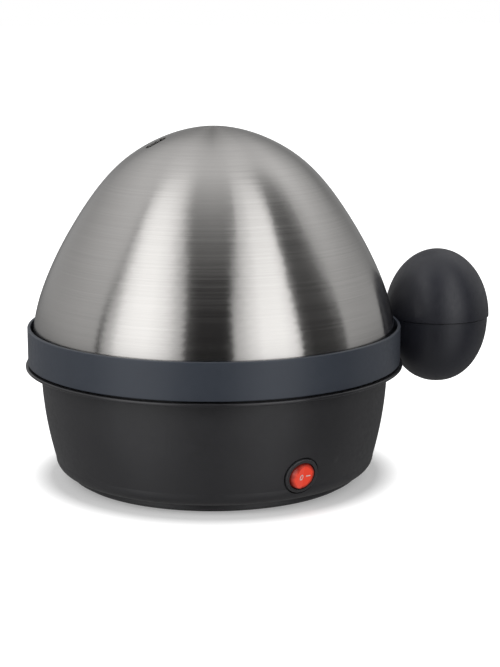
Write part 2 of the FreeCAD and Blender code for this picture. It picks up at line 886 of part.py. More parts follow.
def heating_element():
    edges = []
    half = math.sin(math.radians(45))
    for side in (-1, 1):
        point, away = element_end(side)
        foot = point + away * element_bend_radius - up * element_bend_radius
        middle = point + away * (element_bend_radius * half) - up * (element_bend_radius * (1 - half))
        edges.append(Part.Arc(point, middle, foot).toShape())
        low = V(foot.x, foot.y, element_end_height)
        edges.append(Part.LineSegment(foot, low).toShape())
    middle = V(element_circle, 0, element_height)
    edges.append(Part.Arc(element_end(-1)[0], middle, element_end(1)[0]).toShape())
    return swept(Part.Wire(Part.sortEdges(edges)[0]), element_radius)


def swept(wire, radius):
    start = wire.OrderedEdges[0]
    first = start.valueAt(start.FirstParameter)
    heading = start.tangentAt(start.FirstParameter)
    if start.Orientation == "Reversed":
        first = start.valueAt(start.LastParameter)
        heading = start.tangentAt(start.LastParameter)
    profile = Part.Wire(Part.makeCircle(radius, first, heading))
    return wire.makePipeShell([profile], True, False)


def element_beads():
    beads = []
    low = element_end_height - bead_height
    for side in (-1, 1):
        point = element_end_place(side)
        beads.append(disc(bead_radius, low, element_end_height, point.x, point.y))
    return Part.makeCompound(beads)


def element_tabs():
    tabs = []
    top = element_end_height - bead_height
    half, reach = tab_thickness / 2, tab_width / 2
    for side in (-1, 1):
        point = element_end_place(side)
        tab = block(-half, half, -reach, reach, top - tab_length, top)
        tabs.append(moved(tab, point.x, point.y))
    return Part.makeCompound(tabs)


# Spider, thermostat and fuse

def support_spider():
    spider = disc(spider_hub_radius, spider_low, spider_top)
    half = spider_arm_width / 2
    arm = block(0, spider_arm_reach - half, -half, half, spider_low, spider_top)
    arm = arm.fuse(disc(half, spider_low, spider_top, spider_arm_reach - half))
    spider = spider.fuse(arm_places(arm)).removeSplitter()
    spider = spider.cut(disc(spider_hole_radius, spider_low, spider_top))
    holes = arm_places(disc(stud_radius + clearance, spider_low, spider_top), stud_circle)
    holes += arm_places(disc(spider_screw_radius + clearance, spider_low, spider_top), spider_boss_circle)
    holes += bracket_places(disc(bracket_screw_radius + shaft_clearance, spider_low, spider_top))
    for hole in holes:
        spider = spider.cut(hole)
    return spider


def spider_screws():
    head = disc(spider_screw_head_radius, spider_low - spider_screw_head_height, spider_low)
    shank = disc(spider_screw_radius, spider_low, spider_low + spider_screw_length)
    return Part.makeCompound(arm_places(head.fuse(shank).removeSplitter(), spider_boss_circle))


def thermostat_body():
    shoulder = spider_top + thermostat_height
    body = disc(thermostat_radius, spider_top, shoulder)
    return body.fuse(disc(thermostat_cap_radius, shoulder, dish_bottom - clearance)).removeSplitter()


def thermostat_tabs():
    tabs = []
    for side in (-1, 1):
        tab = block(-tab_width / 2, tab_width / 2, -tab_thickness / 2, tab_thickness / 2,
                    spider_top - tab_length, spider_top)
        tabs.append(moved(tab, 0, side * terminal_offset))
    return Part.makeCompound(tabs)


def bracket_places(shape):
    return [moved(shape, side * bracket_screw_offset) for side in (-1, 1)]


def thermostat_bracket():
    low = spider_top + thermostat_height
    high = low + bracket_thickness
    half = bracket_width / 2
    strap = block(-bracket_reach, bracket_reach, -half, half, low, high)
    strap = strap.fuse(disc(bracket_ring_radius, low, high))
    strap = strap.cut(disc(thermostat_cap_radius + clearance, low, high))
    for hole in bracket_places(disc(bracket_screw_radius + shaft_clearance, low, high)):
        strap = strap.cut(hole)
    return strap.removeSplitter()


def bracket_screws():
    seat = spider_top + thermostat_height + bracket_thickness
    end = spider_low - small_nut_height
    head = disc(bracket_screw_head_radius, seat, seat + bracket_screw_head_height)
    screw = head.fuse(disc(bracket_screw_radius, end, seat)).removeSplitter()
    nut = hexagon(small_nut_across_flats, end, spider_low, bracket_screw_radius + shaft_clearance)
    return Part.makeCompound(bracket_places(screw) + bracket_places(nut))


def fuse_height():
    return spider_low - clearance - clip_thickness - sleeve_radius


def along_fuse(shape):
    """Turns an upright shape centred on the origin to lie along the fuse."""
    lying = turned_about(shape, V(0, 1, 0), 90)
    return at_azimuth(moved(lying, fuse_circle, 0, fuse_height()), fuse_azimuth_deg)


def thermal_fuse():
    half = fuse_length / 2
    return along_fuse(disc(fuse_radius, -half, half))


def fuse_sleeve():
    half = sleeve_length / 2
    return along_fuse(ring(sleeve_radius, fuse_radius + shaft_clearance, -half, half))


def fuse_clip():
    half = clip_width / 2
    inner = sleeve_radius + shaft_clearance
    outer = inner + clip_thickness
    loop = along_fuse(ring(outer, inner, -half, half))
    side = spider_arm_width / 2
    foot = block(-half, half, -side, side, spider_low - clip_thickness, spider_low)
    foot = at_azimuth(moved(foot, fuse_circle), fuse_azimuth_deg)
    return loop.fuse(foot).cut(along_fuse(disc(inner, -half, half))).removeSplitter()


# Rocker switch, in its own frame: x to the right, y up, z out of the wall

def bezel_low():
    return -recess_depth


def switch_housing():
    top = bezel_low() + bezel_height
    body = disc(bezel_radius, bezel_low(), top)
    body = round_edges(body, bezel_round, bezel_radius, top)
    body = body.fuse(disc(switch_barrel_radius, -switch_barrel_depth, bezel_low()))
    snap_top = -switch_boss_depth - clearance
    reach = switch_barrel_radius + snap_height
    snaps = disc(reach, snap_top - snap_length, snap_top)
    half = snap_width / 2
    snaps = snaps.common(block(-reach, reach, -half, half, snap_top - snap_length, snap_top))
    body = body.fuse(snaps)
    body = body.cut(disc(switch_bore_radius, switch_end_wall - switch_barrel_depth, top + overrun))
    body = body.cut(pivot_pin(pivot_pin_radius, switch_barrel_radius))
    for place in (-1, 0, 1):
        x = place * switch_terminal_pitch
        gap = tab_thickness / 2 + shaft_clearance
        width = small_tab_width / 2 + shaft_clearance
        body = body.cut(block(x - gap, x + gap, -width, width, -switch_barrel_depth - overrun,
                              switch_end_wall - switch_barrel_depth))
    return placed(body.removeSplitter(), switch_frame)


def tipped(shape):
    """Tips a rocker piece to ON: its right side goes in."""
    return turned_about(shape, V(0, 1, 0), rocker_half_angle_deg, V(0, 0, rocker_pivot_level))


def rocker_blank():
    pivot = V(0, 0, rocker_pivot_level)
    ball = Part.makeSphere(rocker_sphere_radius, pivot)
    reach = rocker_sphere_radius
    low = rocker_pivot_level - rocker_depth
    valley = rocker_pivot_level + rocker_valley
    rise = 2 * reach * math.tan(math.radians(rocker_half_angle_deg))
    outline = [(-2 * reach, low), (2 * reach, low), (2 * reach, valley + rise), (0, valley),
               (-2 * reach, valley + rise), (-2 * reach, low)]
    points = [V(across, -2 * reach, height) for across, height in outline]
    trim = Part.Face(Part.makePolygon(points)).extrude(V(0, 4 * reach, 0))
    return ball.common(trim)


def switch_rocker():
    rocker = rocker_blank()
    low = rocker_pivot_level - rocker_depth
    stem_low = low - rocker_stem_length
    rocker = rocker.fuse(disc(rocker_stem_radius, stem_low, low + rocker_stem_length))
    bore = disc(plunger_radius + shaft_clearance, stem_low, rocker_pivot_level - pivot_pin_radius * 2)
    pin = pivot_pin(pivot_pin_radius + shaft_clearance, bezel_radius)
    room = lamp_radius + shaft_clearance
    half = lamp_length / 2 + shaft_clearance
    level = rocker_pivot_level - lamp_depth
    pocket = Part.makeCylinder(room, 2 * half, V(-lamp_offset, -half, level), V(0, 1, 0))
    pocket = pocket.fuse(block(-lamp_offset - room, -lamp_offset + room, -half, half, low - overrun, level))
    rocker = rocker.cut([bore, pin, pocket]).removeSplitter()
    return placed(tipped(rocker), switch_frame)


def rocker_marks():
    """A ring and a dash that stand just proud of the rocker's two faces."""
    marks = []
    level = rocker_pivot_level + rocker_valley
    ring_mark = ring(mark_ring_radius, mark_ring_radius - mark_stroke, 0, mark_height)
    half, reach = mark_dash_length / 2, mark_stroke / 2
    dash = block(-half, half, -reach, reach, 0, mark_height)
    for side, centre, mark in ((-1, mark_ring_centre, ring_mark), (1, mark_dash_centre, dash)):
        slanted = turned_about(moved(mark, side * centre), V(0, 1, 0), -side * rocker_half_angle_deg)
        marks.append(moved(slanted, 0, 0, level))
    return placed(tipped(Part.makeCompound(marks)), switch_frame)


def pivot_pin(radius, half):
    return Part.makeCylinder(radius, 2 * half, V(0, -half, rocker_pivot_level), V(0, 1, 0))


def rocker_pivot_pin():
    return placed(pivot_pin(pivot_pin_radius, switch_barrel_radius - shaft_clearance), switch_frame)


def switch_plunger():
    low = rocker_pivot_level - plunger_tip
    tip = Part.makeSphere(plunger_radius, V(0, 0, low + plunger_radius))
    body = disc(plunger_radius, low + plunger_radius, low + plunger_length)
    return placed(tipped(tip.fuse(body).removeSplitter()), switch_frame)


def plunger_spring():
    low = rocker_pivot_level - plunger_tip + plunger_length + spring_wire_radius
    high = rocker_pivot_level - pivot_pin_radius * 2 - spring_wire_radius
    radius = plunger_radius - 2 * spring_wire_radius
    helix = Part.makeHelix((high - low) / spring_turns_count, high - low, radius)
    profile = Part.Wire(Part.makeCircle(spring_wire_radius, V(radius, 0, 0), V(0, 1, 0)))
    spring = Part.Wire(helix.Edges).makePipeShell([profile], True, True)
    return placed(tipped(moved(spring, 0, 0, low)), switch_frame)


def neon_lamp():
    half = lamp_length / 2
    level = rocker_pivot_level - lamp_depth
    lamp = Part.makeCylinder(lamp_radius, 2 * half, V(-lamp_offset, -half, level), V(0, 1, 0))
    return placed(tipped(lamp), switch_frame)


def switch_contact_blade():
    half = blade_length / 2
    side = blade_width / 2
    blade = block(-half, half, -side, side, -blade_height, blade_thickness - blade_height)
    tilted = turned_about(blade, V(0, 1, 0), -blade_tilt_deg, V(0, 0, -blade_height))
    return placed(tilted, switch_frame)


def switch_terminals():
    terminals = []
    drop = blade_length / 2 * math.sin(math.radians(blade_tilt_deg))
    outer_top = -blade_height - drop - contact_gap
    tops = {-1: outer_top, 0: -blade_height - shaft_clearance, 1: outer_top}
    for place, top in tops.items():
        x = place * switch_terminal_pitch
        half = tab_thickness / 2
        side = small_tab_width / 2
        terminals.append(block(x - half, x + half, -side, side, -switch_tab_end, top))
    return placed(Part.makeCompound(terminals), switch_frame)


# Cord inlet, clamp and terminal block

def cord_bushing():
    low = -bushing_recess_depth
    top = low + bushing_flange_height
    flange = disc(bushing_flange_radius, low, top)
    flange = round_edges(flange, lip_round, bushing_flange_radius, top)
    body = flange.fuse(disc(bushing_radius, -bushing_depth - bushing_nut_height, low))
    body = body.cut(disc(cord_bore_radius, -bushing_depth - bushing_nut_height - overrun, top + overrun))
    return placed(body.removeSplitter(), cord_frame)


def bushing_nut():
    top = -switch_boss_depth
    nut = ring(bushing_nut_radius, bushing_radius + shaft_clearance, top - bushing_nut_height, top)
    return placed(nut, cord_frame)


def clamp_bar_low():
    return cover_top + clamp_post_height


def clamp_bar_top():
    return clamp_bar_low() + clamp_bar_thickness


def clamp_screw_low():
    return clamp_bar_top() - clamp_screw_length - clearance


def clamp_places(shape):
    return [at_azimuth(moved(shape, clamp_circle, side * clamp_post_offset), cord_azimuth_deg)
            for side in (-1, 1)]


def cord_clamp():
    half = clamp_bar_width / 2
    reach = clamp_post_offset
    bar = block(clamp_circle - half, clamp_circle + half, -reach, reach, clamp_bar_low(), clamp_bar_top())
    for side in (-1, 1):
        bar = bar.fuse(disc(half, clamp_bar_low(), clamp_bar_top(), clamp_circle, side * reach))
    bar = at_azimuth(bar.removeSplitter(), cord_azimuth_deg)
    for hole in clamp_places(disc(clamp_screw_radius + clearance, clamp_bar_low(), clamp_bar_top())):
        bar = bar.cut(hole)
    return bar


def clamp_screws():
    top = clamp_bar_top()
    head = disc(clamp_screw_head_radius, top, top + clamp_screw_head_height)
    shank = disc(clamp_screw_radius, top - clamp_screw_length, top)
    return Part.makeCompound(clamp_places(head.fuse(shank).removeSplitter()))


def block_bores(radius, reach):
    bores = []
    for place in (-1, 0, 1):
        start = V(block_circle - reach, place * block_pitch, cover_top + block_bore_height)
        bores.append(Part.makeCylinder(radius, 2 * reach, start, V(1, 0, 0)))
    return bores


def block_screw_places(shape):
    places = []
    for side in (-1, 1):
        for place in (-1, 0, 1):
            screw = moved(shape, block_circle + side * block_screw_offset, place * block_pitch)
            places.append(at_azimuth(screw, cord_azimuth_deg))
    return places


def terminal_block():
    half, side = block_width / 2, block_length / 2
    body = block(block_circle - half, block_circle + half, -side, side, cover_top, cover_top + block_height)
    body = at_azimuth(body.cut(block_bores(block_bore_radius, half + overrun)), cord_azimuth_deg)
    top = cover_top + block_height + overrun
    well = disc(block_screw_head_radius + clearance, cover_top + block_bore_height, top)
    return body.cut(block_screw_places(well)).removeSplitter()


def insert_radius():
    return block_bore_radius - shaft_clearance


def terminal_inserts():
    reach = block_width / 2 - clearance
    inner = insert_radius() - insert_wall
    sleeves = []
    for outer_bore, inner_bore in zip(block_bores(insert_radius(), reach), block_bores(inner, reach)):
        sleeves.append(at_azimuth(outer_bore.cut(inner_bore), cord_azimuth_deg))
    holes = block_screw_places(disc(block_screw_radius + shaft_clearance, cover_top + block_bore_height,
                                    cover_top + block_height))
    return Part.makeCompound([sleeve.cut(holes) for sleeve in sleeves])


def terminal_screws():
    head_low = cover_top + block_bore_height + block_bore_radius + block_screw_length / 2
    head = disc(block_screw_head_radius, head_low, head_low + block_screw_head_height)
    shank = disc(block_screw_radius, head_low - block_screw_length / 2 - insert_wall * 2, head_low)
    return Part.makeCompound(block_screw_places(head.fuse(shank).removeSplitter()))


# Leads and their receptacles

def receptacle(width):
    """Spade receptacle: the tab enters from above, the lead leaves below."""
    gap = shaft_clearance
    outer_x = tab_thickness / 2 + gap + receptacle_wall
    outer_y = width / 2 + gap + receptacle_wall
    body = block(-outer_x, outer_x, -outer_y, outer_y, -receptacle_length, 0)
    half, side = tab_thickness / 2 + gap, width / 2 + gap
    slot = block(-half, half, -side, side, -receptacle_length + receptacle_wall, 0)
    barrel = disc(barrel_radius, -receptacle_length - barrel_length, -receptacle_length)
    return body.cut(slot).fuse(barrel)


def tab_reach():
    return tab_length - receptacle_length + receptacle_wall + shaft_clearance


def receptacle_places():
    """Each receptacle's place: where its top lies, and how it turns."""
    places = {}
    for side in (-1, 1):
        point = element_end_place(side)
        level = element_end_height - bead_height - tab_reach()
        places["element", side] = FreeCAD.Placement(V(point.x, point.y, level), FreeCAD.Rotation())
        turn = FreeCAD.Rotation(up, 90)
        level = spider_top - tab_reach()
        places["thermostat", side] = FreeCAD.Placement(V(0, side * terminal_offset, level), turn)
    for place in (-1, 0, 1):
        level = -switch_tab_end + receptacle_length - receptacle_wall - shaft_clearance
        local = FreeCAD.Placement(V(place * switch_terminal_pitch, 0, level), FreeCAD.Rotation())
        places["switch", place] = switch_frame.multiply(local)
    return places


def spade_receptacles():
    pieces = []
    for (owner, _), place in receptacle_places().items():
        width = small_tab_width if owner == "switch" else tab_width
        pieces.append(placed(receptacle(width).removeSplitter(), place))
    return Part.makeCompound(pieces)


def lead_end(owner, side):
    """Start of a lead at a receptacle, and the direction that it leaves in."""
    place = receptacle_places()[owner, side]
    start = place.multVec(V(0, 0, -receptacle_length - barrel_length))
    return start, place.Rotation.multVec(V(0, 0, -1))


def block_end(place, offset=0):
    depth = block_width / 2 - 2 * lead_radius
    start = V(block_circle - depth, place * block_pitch + offset, cover_top + block_bore_height)
    rotation = FreeCAD.Rotation(up, cord_azimuth_deg)
    return rotation.multVec(start), rotation.multVec(V(-1, 0, 0))


def fuse_end(side):
    rotation = FreeCAD.Rotation(up, fuse_azimuth_deg)
    start = rotation.multVec(V(fuse_circle + side * fuse_length / 2, 0, fuse_height()))
    return start, rotation.multVec(V(side, 0, 0))


def earth_tag_low():
    return spider_low - nut_height - tab_thickness


def earth_tag_angle():
    return 360 / spider_arm_count


def earth_end():
    reach = washer_radius + barrel_length + lead_radius
    rotation = FreeCAD.Rotation(up, earth_tag_angle())
    start = rotation.multVec(V(stud_circle - reach, 0, earth_tag_low() + tab_thickness / 2))
    return start, rotation.multVec(V(-1, 0, 0))


def earth_tag():
    low = earth_tag_low()
    tag = disc(washer_radius, low, low + tab_thickness, stud_circle)
    start = stud_circle - washer_radius - barrel_length - lead_radius
    high = low + tab_thickness
    middle = V(start, 0, low + tab_thickness / 2)
    barrel = Part.makeCylinder(barrel_radius, barrel_length, middle, V(1, 0, 0))
    neck = block(start + barrel_length / 2, stud_circle, -barrel_radius, barrel_radius, low, high)
    tag = tag.fuse([barrel, neck]).cut(disc(stud_radius + shaft_clearance, low, high, stud_circle))
    return at_azimuth(tag.removeSplitter(), earth_tag_angle())


def routed(points):
    """Straight runs joined by tangent arcs, each as large as its two runs allow."""
    edges = []
    last = points[0]
    for before, corner, after in zip(points, points[1:], points[2:]):
        entry = (before - corner).normalize()
        leave = (after - corner).normalize()
        half_turn = (math.pi - entry.getAngle(leave)) / 2
        trim = bend_share * min(before.distanceToPoint(corner), after.distanceToPoint(corner))
        radius = trim / math.tan(half_turn)
        middle_way = (entry + leave).normalize()
        sagitta = radius / math.cos(half_turn) - radius
        start, end = corner + entry * trim, corner + leave * trim
        edges.append(Part.LineSegment(last, start).toShape())
        edges.append(Part.Arc(start, corner + middle_way * sagitta, end).toShape())
        last = end
    edges.append(Part.LineSegment(last, points[-1]).toShape())
    return Part.Wire(edges)


def lead(first, first_stub, route_shares, last, last_stub):
    start, leaving = first
    end, arriving = last
    points = [start, start + leaving * first_stub]
    for x_share, y_share, height_share in route_shares:
        height = cover_top + height_share * wire_room_height
        points.append(V(x_share * stud_circle, y_share * stud_circle, height))
    points += [end + arriving * last_stub, end]
    return swept(routed(points), lead_radius)


def leads():
    twin = twin_lead_offset
    return {
        "live_lead": lead(block_end(-1), lead_stub, live_route_shares,
                          lead_end("switch", 0), lead_stub),
        "switched_lead": lead(lead_end("switch", -1), lead_middle_stub, switched_route_shares,
                              fuse_end(1), lead_middle_stub),
        "fuse_lead": lead(fuse_end(-1), lead_middle_stub, fuse_route_shares,
                          lead_end("thermostat", -1), lead_middle_stub),
        "element_lead": lead(lead_end("thermostat", 1), lead_short_stub, element_route_shares,
                             lead_end("element", 1), lead_stub),
        "neutral_lead": lead(block_end(0, twin), lead_stub, neutral_route_shares,
                             lead_end("element", -1), lead_stub),
        "lamp_lead": lead(block_end(0, -twin), lead_stub, lamp_route_shares,
                          lead_end("switch", 1), lead_stub),
        "earth_lead": lead(block_end(1), lead_stub, earth_route_shares,
                           earth_end(), lead_middle_stub),
    }


pieces = {
    "lid_dome": lid_dome, "lid_collar": lid_collar, "lid_clamp_ring": lid_clamp_ring,
    "collar_screws": collar_screws, "handle_upper_shell": handle_upper_shell,
    "handle_lower_shell": handle_lower_shell, "handle_screws": handle_screws,
    "egg_tray": egg_tray,
    "base_housing": base_housing, "bottom_cover": bottom_cover, "cover_screws": cover_screws,
    "heating_dish": heating_dish, "dish_seal": dish_seal, "dish_studs": dish_studs, "stud_nuts": stud_nuts,
    "heat_spreader": heat_spreader, "heating_element": heating_element, "element_beads": element_beads,
    "element_tabs": element_tabs, "support_spider": support_spider, "spider_screws": spider_screws,
    "thermostat_body": thermostat_body, "thermostat_tabs": thermostat_tabs,
    "thermostat_bracket": thermostat_bracket, "bracket_screws": bracket_screws,
    "thermal_fuse": thermal_fuse, "fuse_sleeve": fuse_sleeve, "fuse_clip": fuse_clip,
    "switch_housing": switch_housing, "switch_rocker": switch_rocker, "rocker_marks": rocker_marks,
    "rocker_pivot_pin": rocker_pivot_pin, "switch_plunger": switch_plunger,
    "plunger_spring": plunger_spring,
    "neon_lamp": neon_lamp, "switch_contact_blade": switch_contact_blade,
    "switch_terminals": switch_terminals,
    "cord_bushing": cord_bushing, "bushing_nut": bushing_nut, "cord_clamp": cord_clamp,
    "clamp_screws": clamp_screws, "terminal_block": terminal_block, "terminal_inserts": terminal_inserts,
    "terminal_screws": terminal_screws, "spade_receptacles": spade_receptacles,
    "earth_tag": earth_tag,
}

for piece_name, make_piece in pieces.items():
    save(piece_name, make_piece())
for lead_name, lead_shape in leads().items():
    save(lead_name, lead_shape)
for number, foot in enumerate(foot_places(rubber_foot()), start=1):
    save("foot_" + str(number), foot)
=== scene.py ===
import json
import math

import bpy
from mathutils import Matrix, Vector


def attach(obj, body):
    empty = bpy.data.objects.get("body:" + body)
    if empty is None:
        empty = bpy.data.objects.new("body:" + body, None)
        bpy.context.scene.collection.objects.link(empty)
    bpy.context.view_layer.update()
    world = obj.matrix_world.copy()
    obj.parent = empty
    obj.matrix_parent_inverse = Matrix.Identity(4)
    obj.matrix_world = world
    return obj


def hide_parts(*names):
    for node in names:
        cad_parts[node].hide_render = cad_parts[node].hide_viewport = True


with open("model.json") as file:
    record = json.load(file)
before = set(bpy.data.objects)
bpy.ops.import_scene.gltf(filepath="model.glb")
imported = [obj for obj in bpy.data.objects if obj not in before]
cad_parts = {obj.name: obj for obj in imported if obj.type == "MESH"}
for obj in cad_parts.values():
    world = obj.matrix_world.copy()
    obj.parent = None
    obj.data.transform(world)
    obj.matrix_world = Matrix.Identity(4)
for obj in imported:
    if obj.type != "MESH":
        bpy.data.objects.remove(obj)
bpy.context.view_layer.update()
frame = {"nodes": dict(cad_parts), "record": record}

nodes = frame["nodes"]
print("frame loaded,", len(nodes), "nodes")

mm = 0.001


def deselectAll():
    if bpy.context.object and bpy.context.object.mode != "OBJECT":
        bpy.ops.object.mode_set(mode="OBJECT")
    bpy.ops.object.select_all(action="DESELECT")


def pick(piece):
    deselectAll()
    piece.select_set(True)
    bpy.context.view_layer.objects.active = piece


# camera, as the photograph was taken

cameraSettings = {
    "place": (-0.2064, -0.7425, 0.2250),
    "tiltDeg": 78.44,
    "turnDeg": -16.8,
    "lens": 88.88,
    "sensor": 36.0,
}

deselectAll()
bpy.ops.object.camera_add(
    location=cameraSettings["place"],
    rotation=(math.radians(cameraSettings["tiltDeg"]), 0, math.radians(cameraSettings["turnDeg"])),
)
camera = bpy.context.object
camera.name = "photoCamera"
camera.data.lens = cameraSettings["lens"]
camera.data.sensor_fit = "AUTO"
camera.data.sensor_width = cameraSettings["sensor"]
camera.data.dof.use_dof = False
bpy.context.scene.camera = camera
cameraBearing = math.degrees(math.atan2(cameraSettings["place"][1], cameraSettings["place"][0]))

bpy.context.scene.view_settings.view_transform = "Standard"
print("camera set")


# material helpers


def startMaterial(name, colour, roughness, metallic=0.0):
    material = bpy.data.materials.new(name)
    material.use_nodes = True
    shader = material.node_tree.nodes["Principled BSDF"]
    shader.inputs["Base Color"].default_value = (*colour, 1.0)
    shader.inputs["Roughness"].default_value = roughness
    shader.inputs["Metallic"].default_value = metallic
    return material, shader


def addNode(material, kind, **values):
    node = material.node_tree.nodes.new(kind)
    for key, value in values.items():
        setattr(node, key, value)
    return node


def join(material, source, target):
    material.node_tree.links.new(source, target)


def objectPattern(material, scale, detail=3.0):
    place = addNode(material, "ShaderNodeTexCoord")
    noise = addNode(material, "ShaderNodeTexNoise")
    noise.inputs["Scale"].default_value = scale
    noise.inputs["Detail"].default_value = detail
    join(material, place.outputs["Object"], noise.inputs["Vector"])
    return noise.outputs["Fac"]


def calc(material, operation, first, second=0.0):
    node = addNode(material, "ShaderNodeMath", operation=operation)
    for socket, value in zip(node.inputs, (first, second)):
        if isinstance(value, (int, float)):
            socket.default_value = value
        else:
            join(material, value, socket)
    return node.outputs["Value"]


# where a noise pattern has most of its values
patternRange = (0.3, 0.7)


def spread(material, factor, low, high, fromLow=patternRange[0], fromHigh=patternRange[1]):
    ranged = addNode(material, "ShaderNodeMapRange")
    ranged.inputs["From Min"].default_value = fromLow
    ranged.inputs["From Max"].default_value = fromHigh
    ranged.inputs["To Min"].default_value = low
    ranged.inputs["To Max"].default_value = high
    join(material, factor, ranged.inputs["Value"])
    return ranged.outputs["Result"]


def blendColours(material, factor, dark, light):
    ramp = addNode(material, "ShaderNodeValToRGB")
    stops = ((patternRange[0], dark), (patternRange[1], light))
    for element, (position, colour) in zip(ramp.color_ramp.elements, stops):
        element.position = position
        element.color = (*colour, 1.0)
    join(material, factor, ramp.inputs["Fac"])
    return ramp.outputs["Color"]


def bump(material, height, strength, distance):
    node = addNode(material, "ShaderNodeBump")
    node.inputs["Strength"].default_value = strength
    node.inputs["Distance"].default_value = distance
    join(material, height, node.inputs["Height"])
    return node.outputs["Normal"]


def blended(material, factor, first, second):
    mix = addNode(material, "ShaderNodeMix", data_type="RGBA")
    join(material, factor, mix.inputs["Factor"])
    for socket, value in ((mix.inputs[6], first), (mix.inputs[7], second)):
        if isinstance(value, tuple):
            socket.default_value = (*value, 1.0)
        else:
            join(material, value, socket)
    return mix.outputs[2]


def tinted(colour, factor):
    return tuple(min(1.0, part * factor) for part in colour)


def clouded(material, shader, colour, scale, detail, contrast):
    cloudy = objectPattern(material, scale, detail=detail)
    colourOut = blendColours(material, cloudy, tinted(colour, 1 - contrast), tinted(colour, 1 + contrast))
    join(material, colourOut, shader.inputs["Base Color"])


plasticSettings = {
    "cloudScale": 38.0,
    "cloudDetail": 4.0,
    "cloudContrast": 0.12,
    "patchScale": 420.0,
    "patchSmoother": 0.05,
    "patchRougher": 0.06,
    "grain": 2600.0,
    "grainDetail": 2.0,
    "grainDepth": 0.02,
    "grainStrength": 0.35,
}


def grained(material, shader, grain, grainDepth):
    fine = objectPattern(material, grain, detail=plasticSettings["grainDetail"])
    normal = bump(material, fine, plasticSettings["grainStrength"], grainDepth * mm)
    join(material, normal, shader.inputs["Normal"])


def mouldedPlastic(name, colour, roughness, grain=plasticSettings["grain"],
                   grainDepth=plasticSettings["grainDepth"], contrast=plasticSettings["cloudContrast"]):
    material, shader = startMaterial(name, colour, roughness)
    clouded(material, shader, colour, plasticSettings["cloudScale"], plasticSettings["cloudDetail"], contrast)
    patches = objectPattern(material, plasticSettings["patchScale"])
    smoothest = roughness - plasticSettings["patchSmoother"]
    roughest = roughness + plasticSettings["patchRougher"]
    join(material, spread(material, patches, smoothest, roughest), shader.inputs["Roughness"])
    grained(material, shader, grain, grainDepth)
    return material


# the rim under the collar is smoother than the textured wall
basePlasticSettings = {
    "wallRoughness": (0.36, 0.46),
    "rimFrom": (53.0, 53.4),
    "rimSmoother": 0.2,
}


def basePlasticMaterial():
    settings = basePlasticSettings
    colour = colours["base"]
    material, shader = startMaterial("basePlastic", colour, settings["wallRoughness"][0])
    clouded(material, shader, colour, plasticSettings["cloudScale"], plasticSettings["cloudDetail"],
            plasticSettings["cloudContrast"])
    place = addNode(material, "ShaderNodeTexCoord")
    parts = addNode(material, "ShaderNodeSeparateXYZ")
    join(material, place.outputs["Object"], parts.inputs["Vector"])
    low, high = (height * mm for height in settings["rimFrom"])
    rim = spread(material, parts.outputs["Z"], 0, 1, low, high)
    patches = objectPattern(material, plasticSettings["patchScale"])
    wall = spread(material, patches, *settings["wallRoughness"])
    smoother = calc(material, "MULTIPLY", rim, settings["rimSmoother"])
    join(material, calc(material, "SUBTRACT", wall, smoother), shader.inputs["Roughness"])
    grained(material, shader, plasticSettings["grain"], plasticSettings["grainDepth"])
    return material


metalSettings = {
    "cloudScale": 260.0,
    "cloudDetail": 5.0,
    "patchScale": 900.0,
    "patchSmoother": 0.08,
    "patchRougher": 0.12,
    "grain": 3200.0,
    "grainDepth": 0.01,
    "grainStrength": 0.2,
}


def platedMetal(name, colour, roughness, contrast=0.12):
    material, shader = startMaterial(name, colour, roughness, 1.0)
    clouded(material, shader, colour, metalSettings["cloudScale"], metalSettings["cloudDetail"], contrast)
    patches = objectPattern(material, metalSettings["patchScale"])
    smoothest = roughness - metalSettings["patchSmoother"]
    roughest = roughness + metalSettings["patchRougher"]
    join(material, spread(material, patches, smoothest, roughest), shader.inputs["Roughness"])
    fine = objectPattern(material, metalSettings["grain"])
    normal = bump(material, fine, metalSettings["grainStrength"], metalSettings["grainDepth"] * mm)
    join(material, normal, shader.inputs["Normal"])
    return material


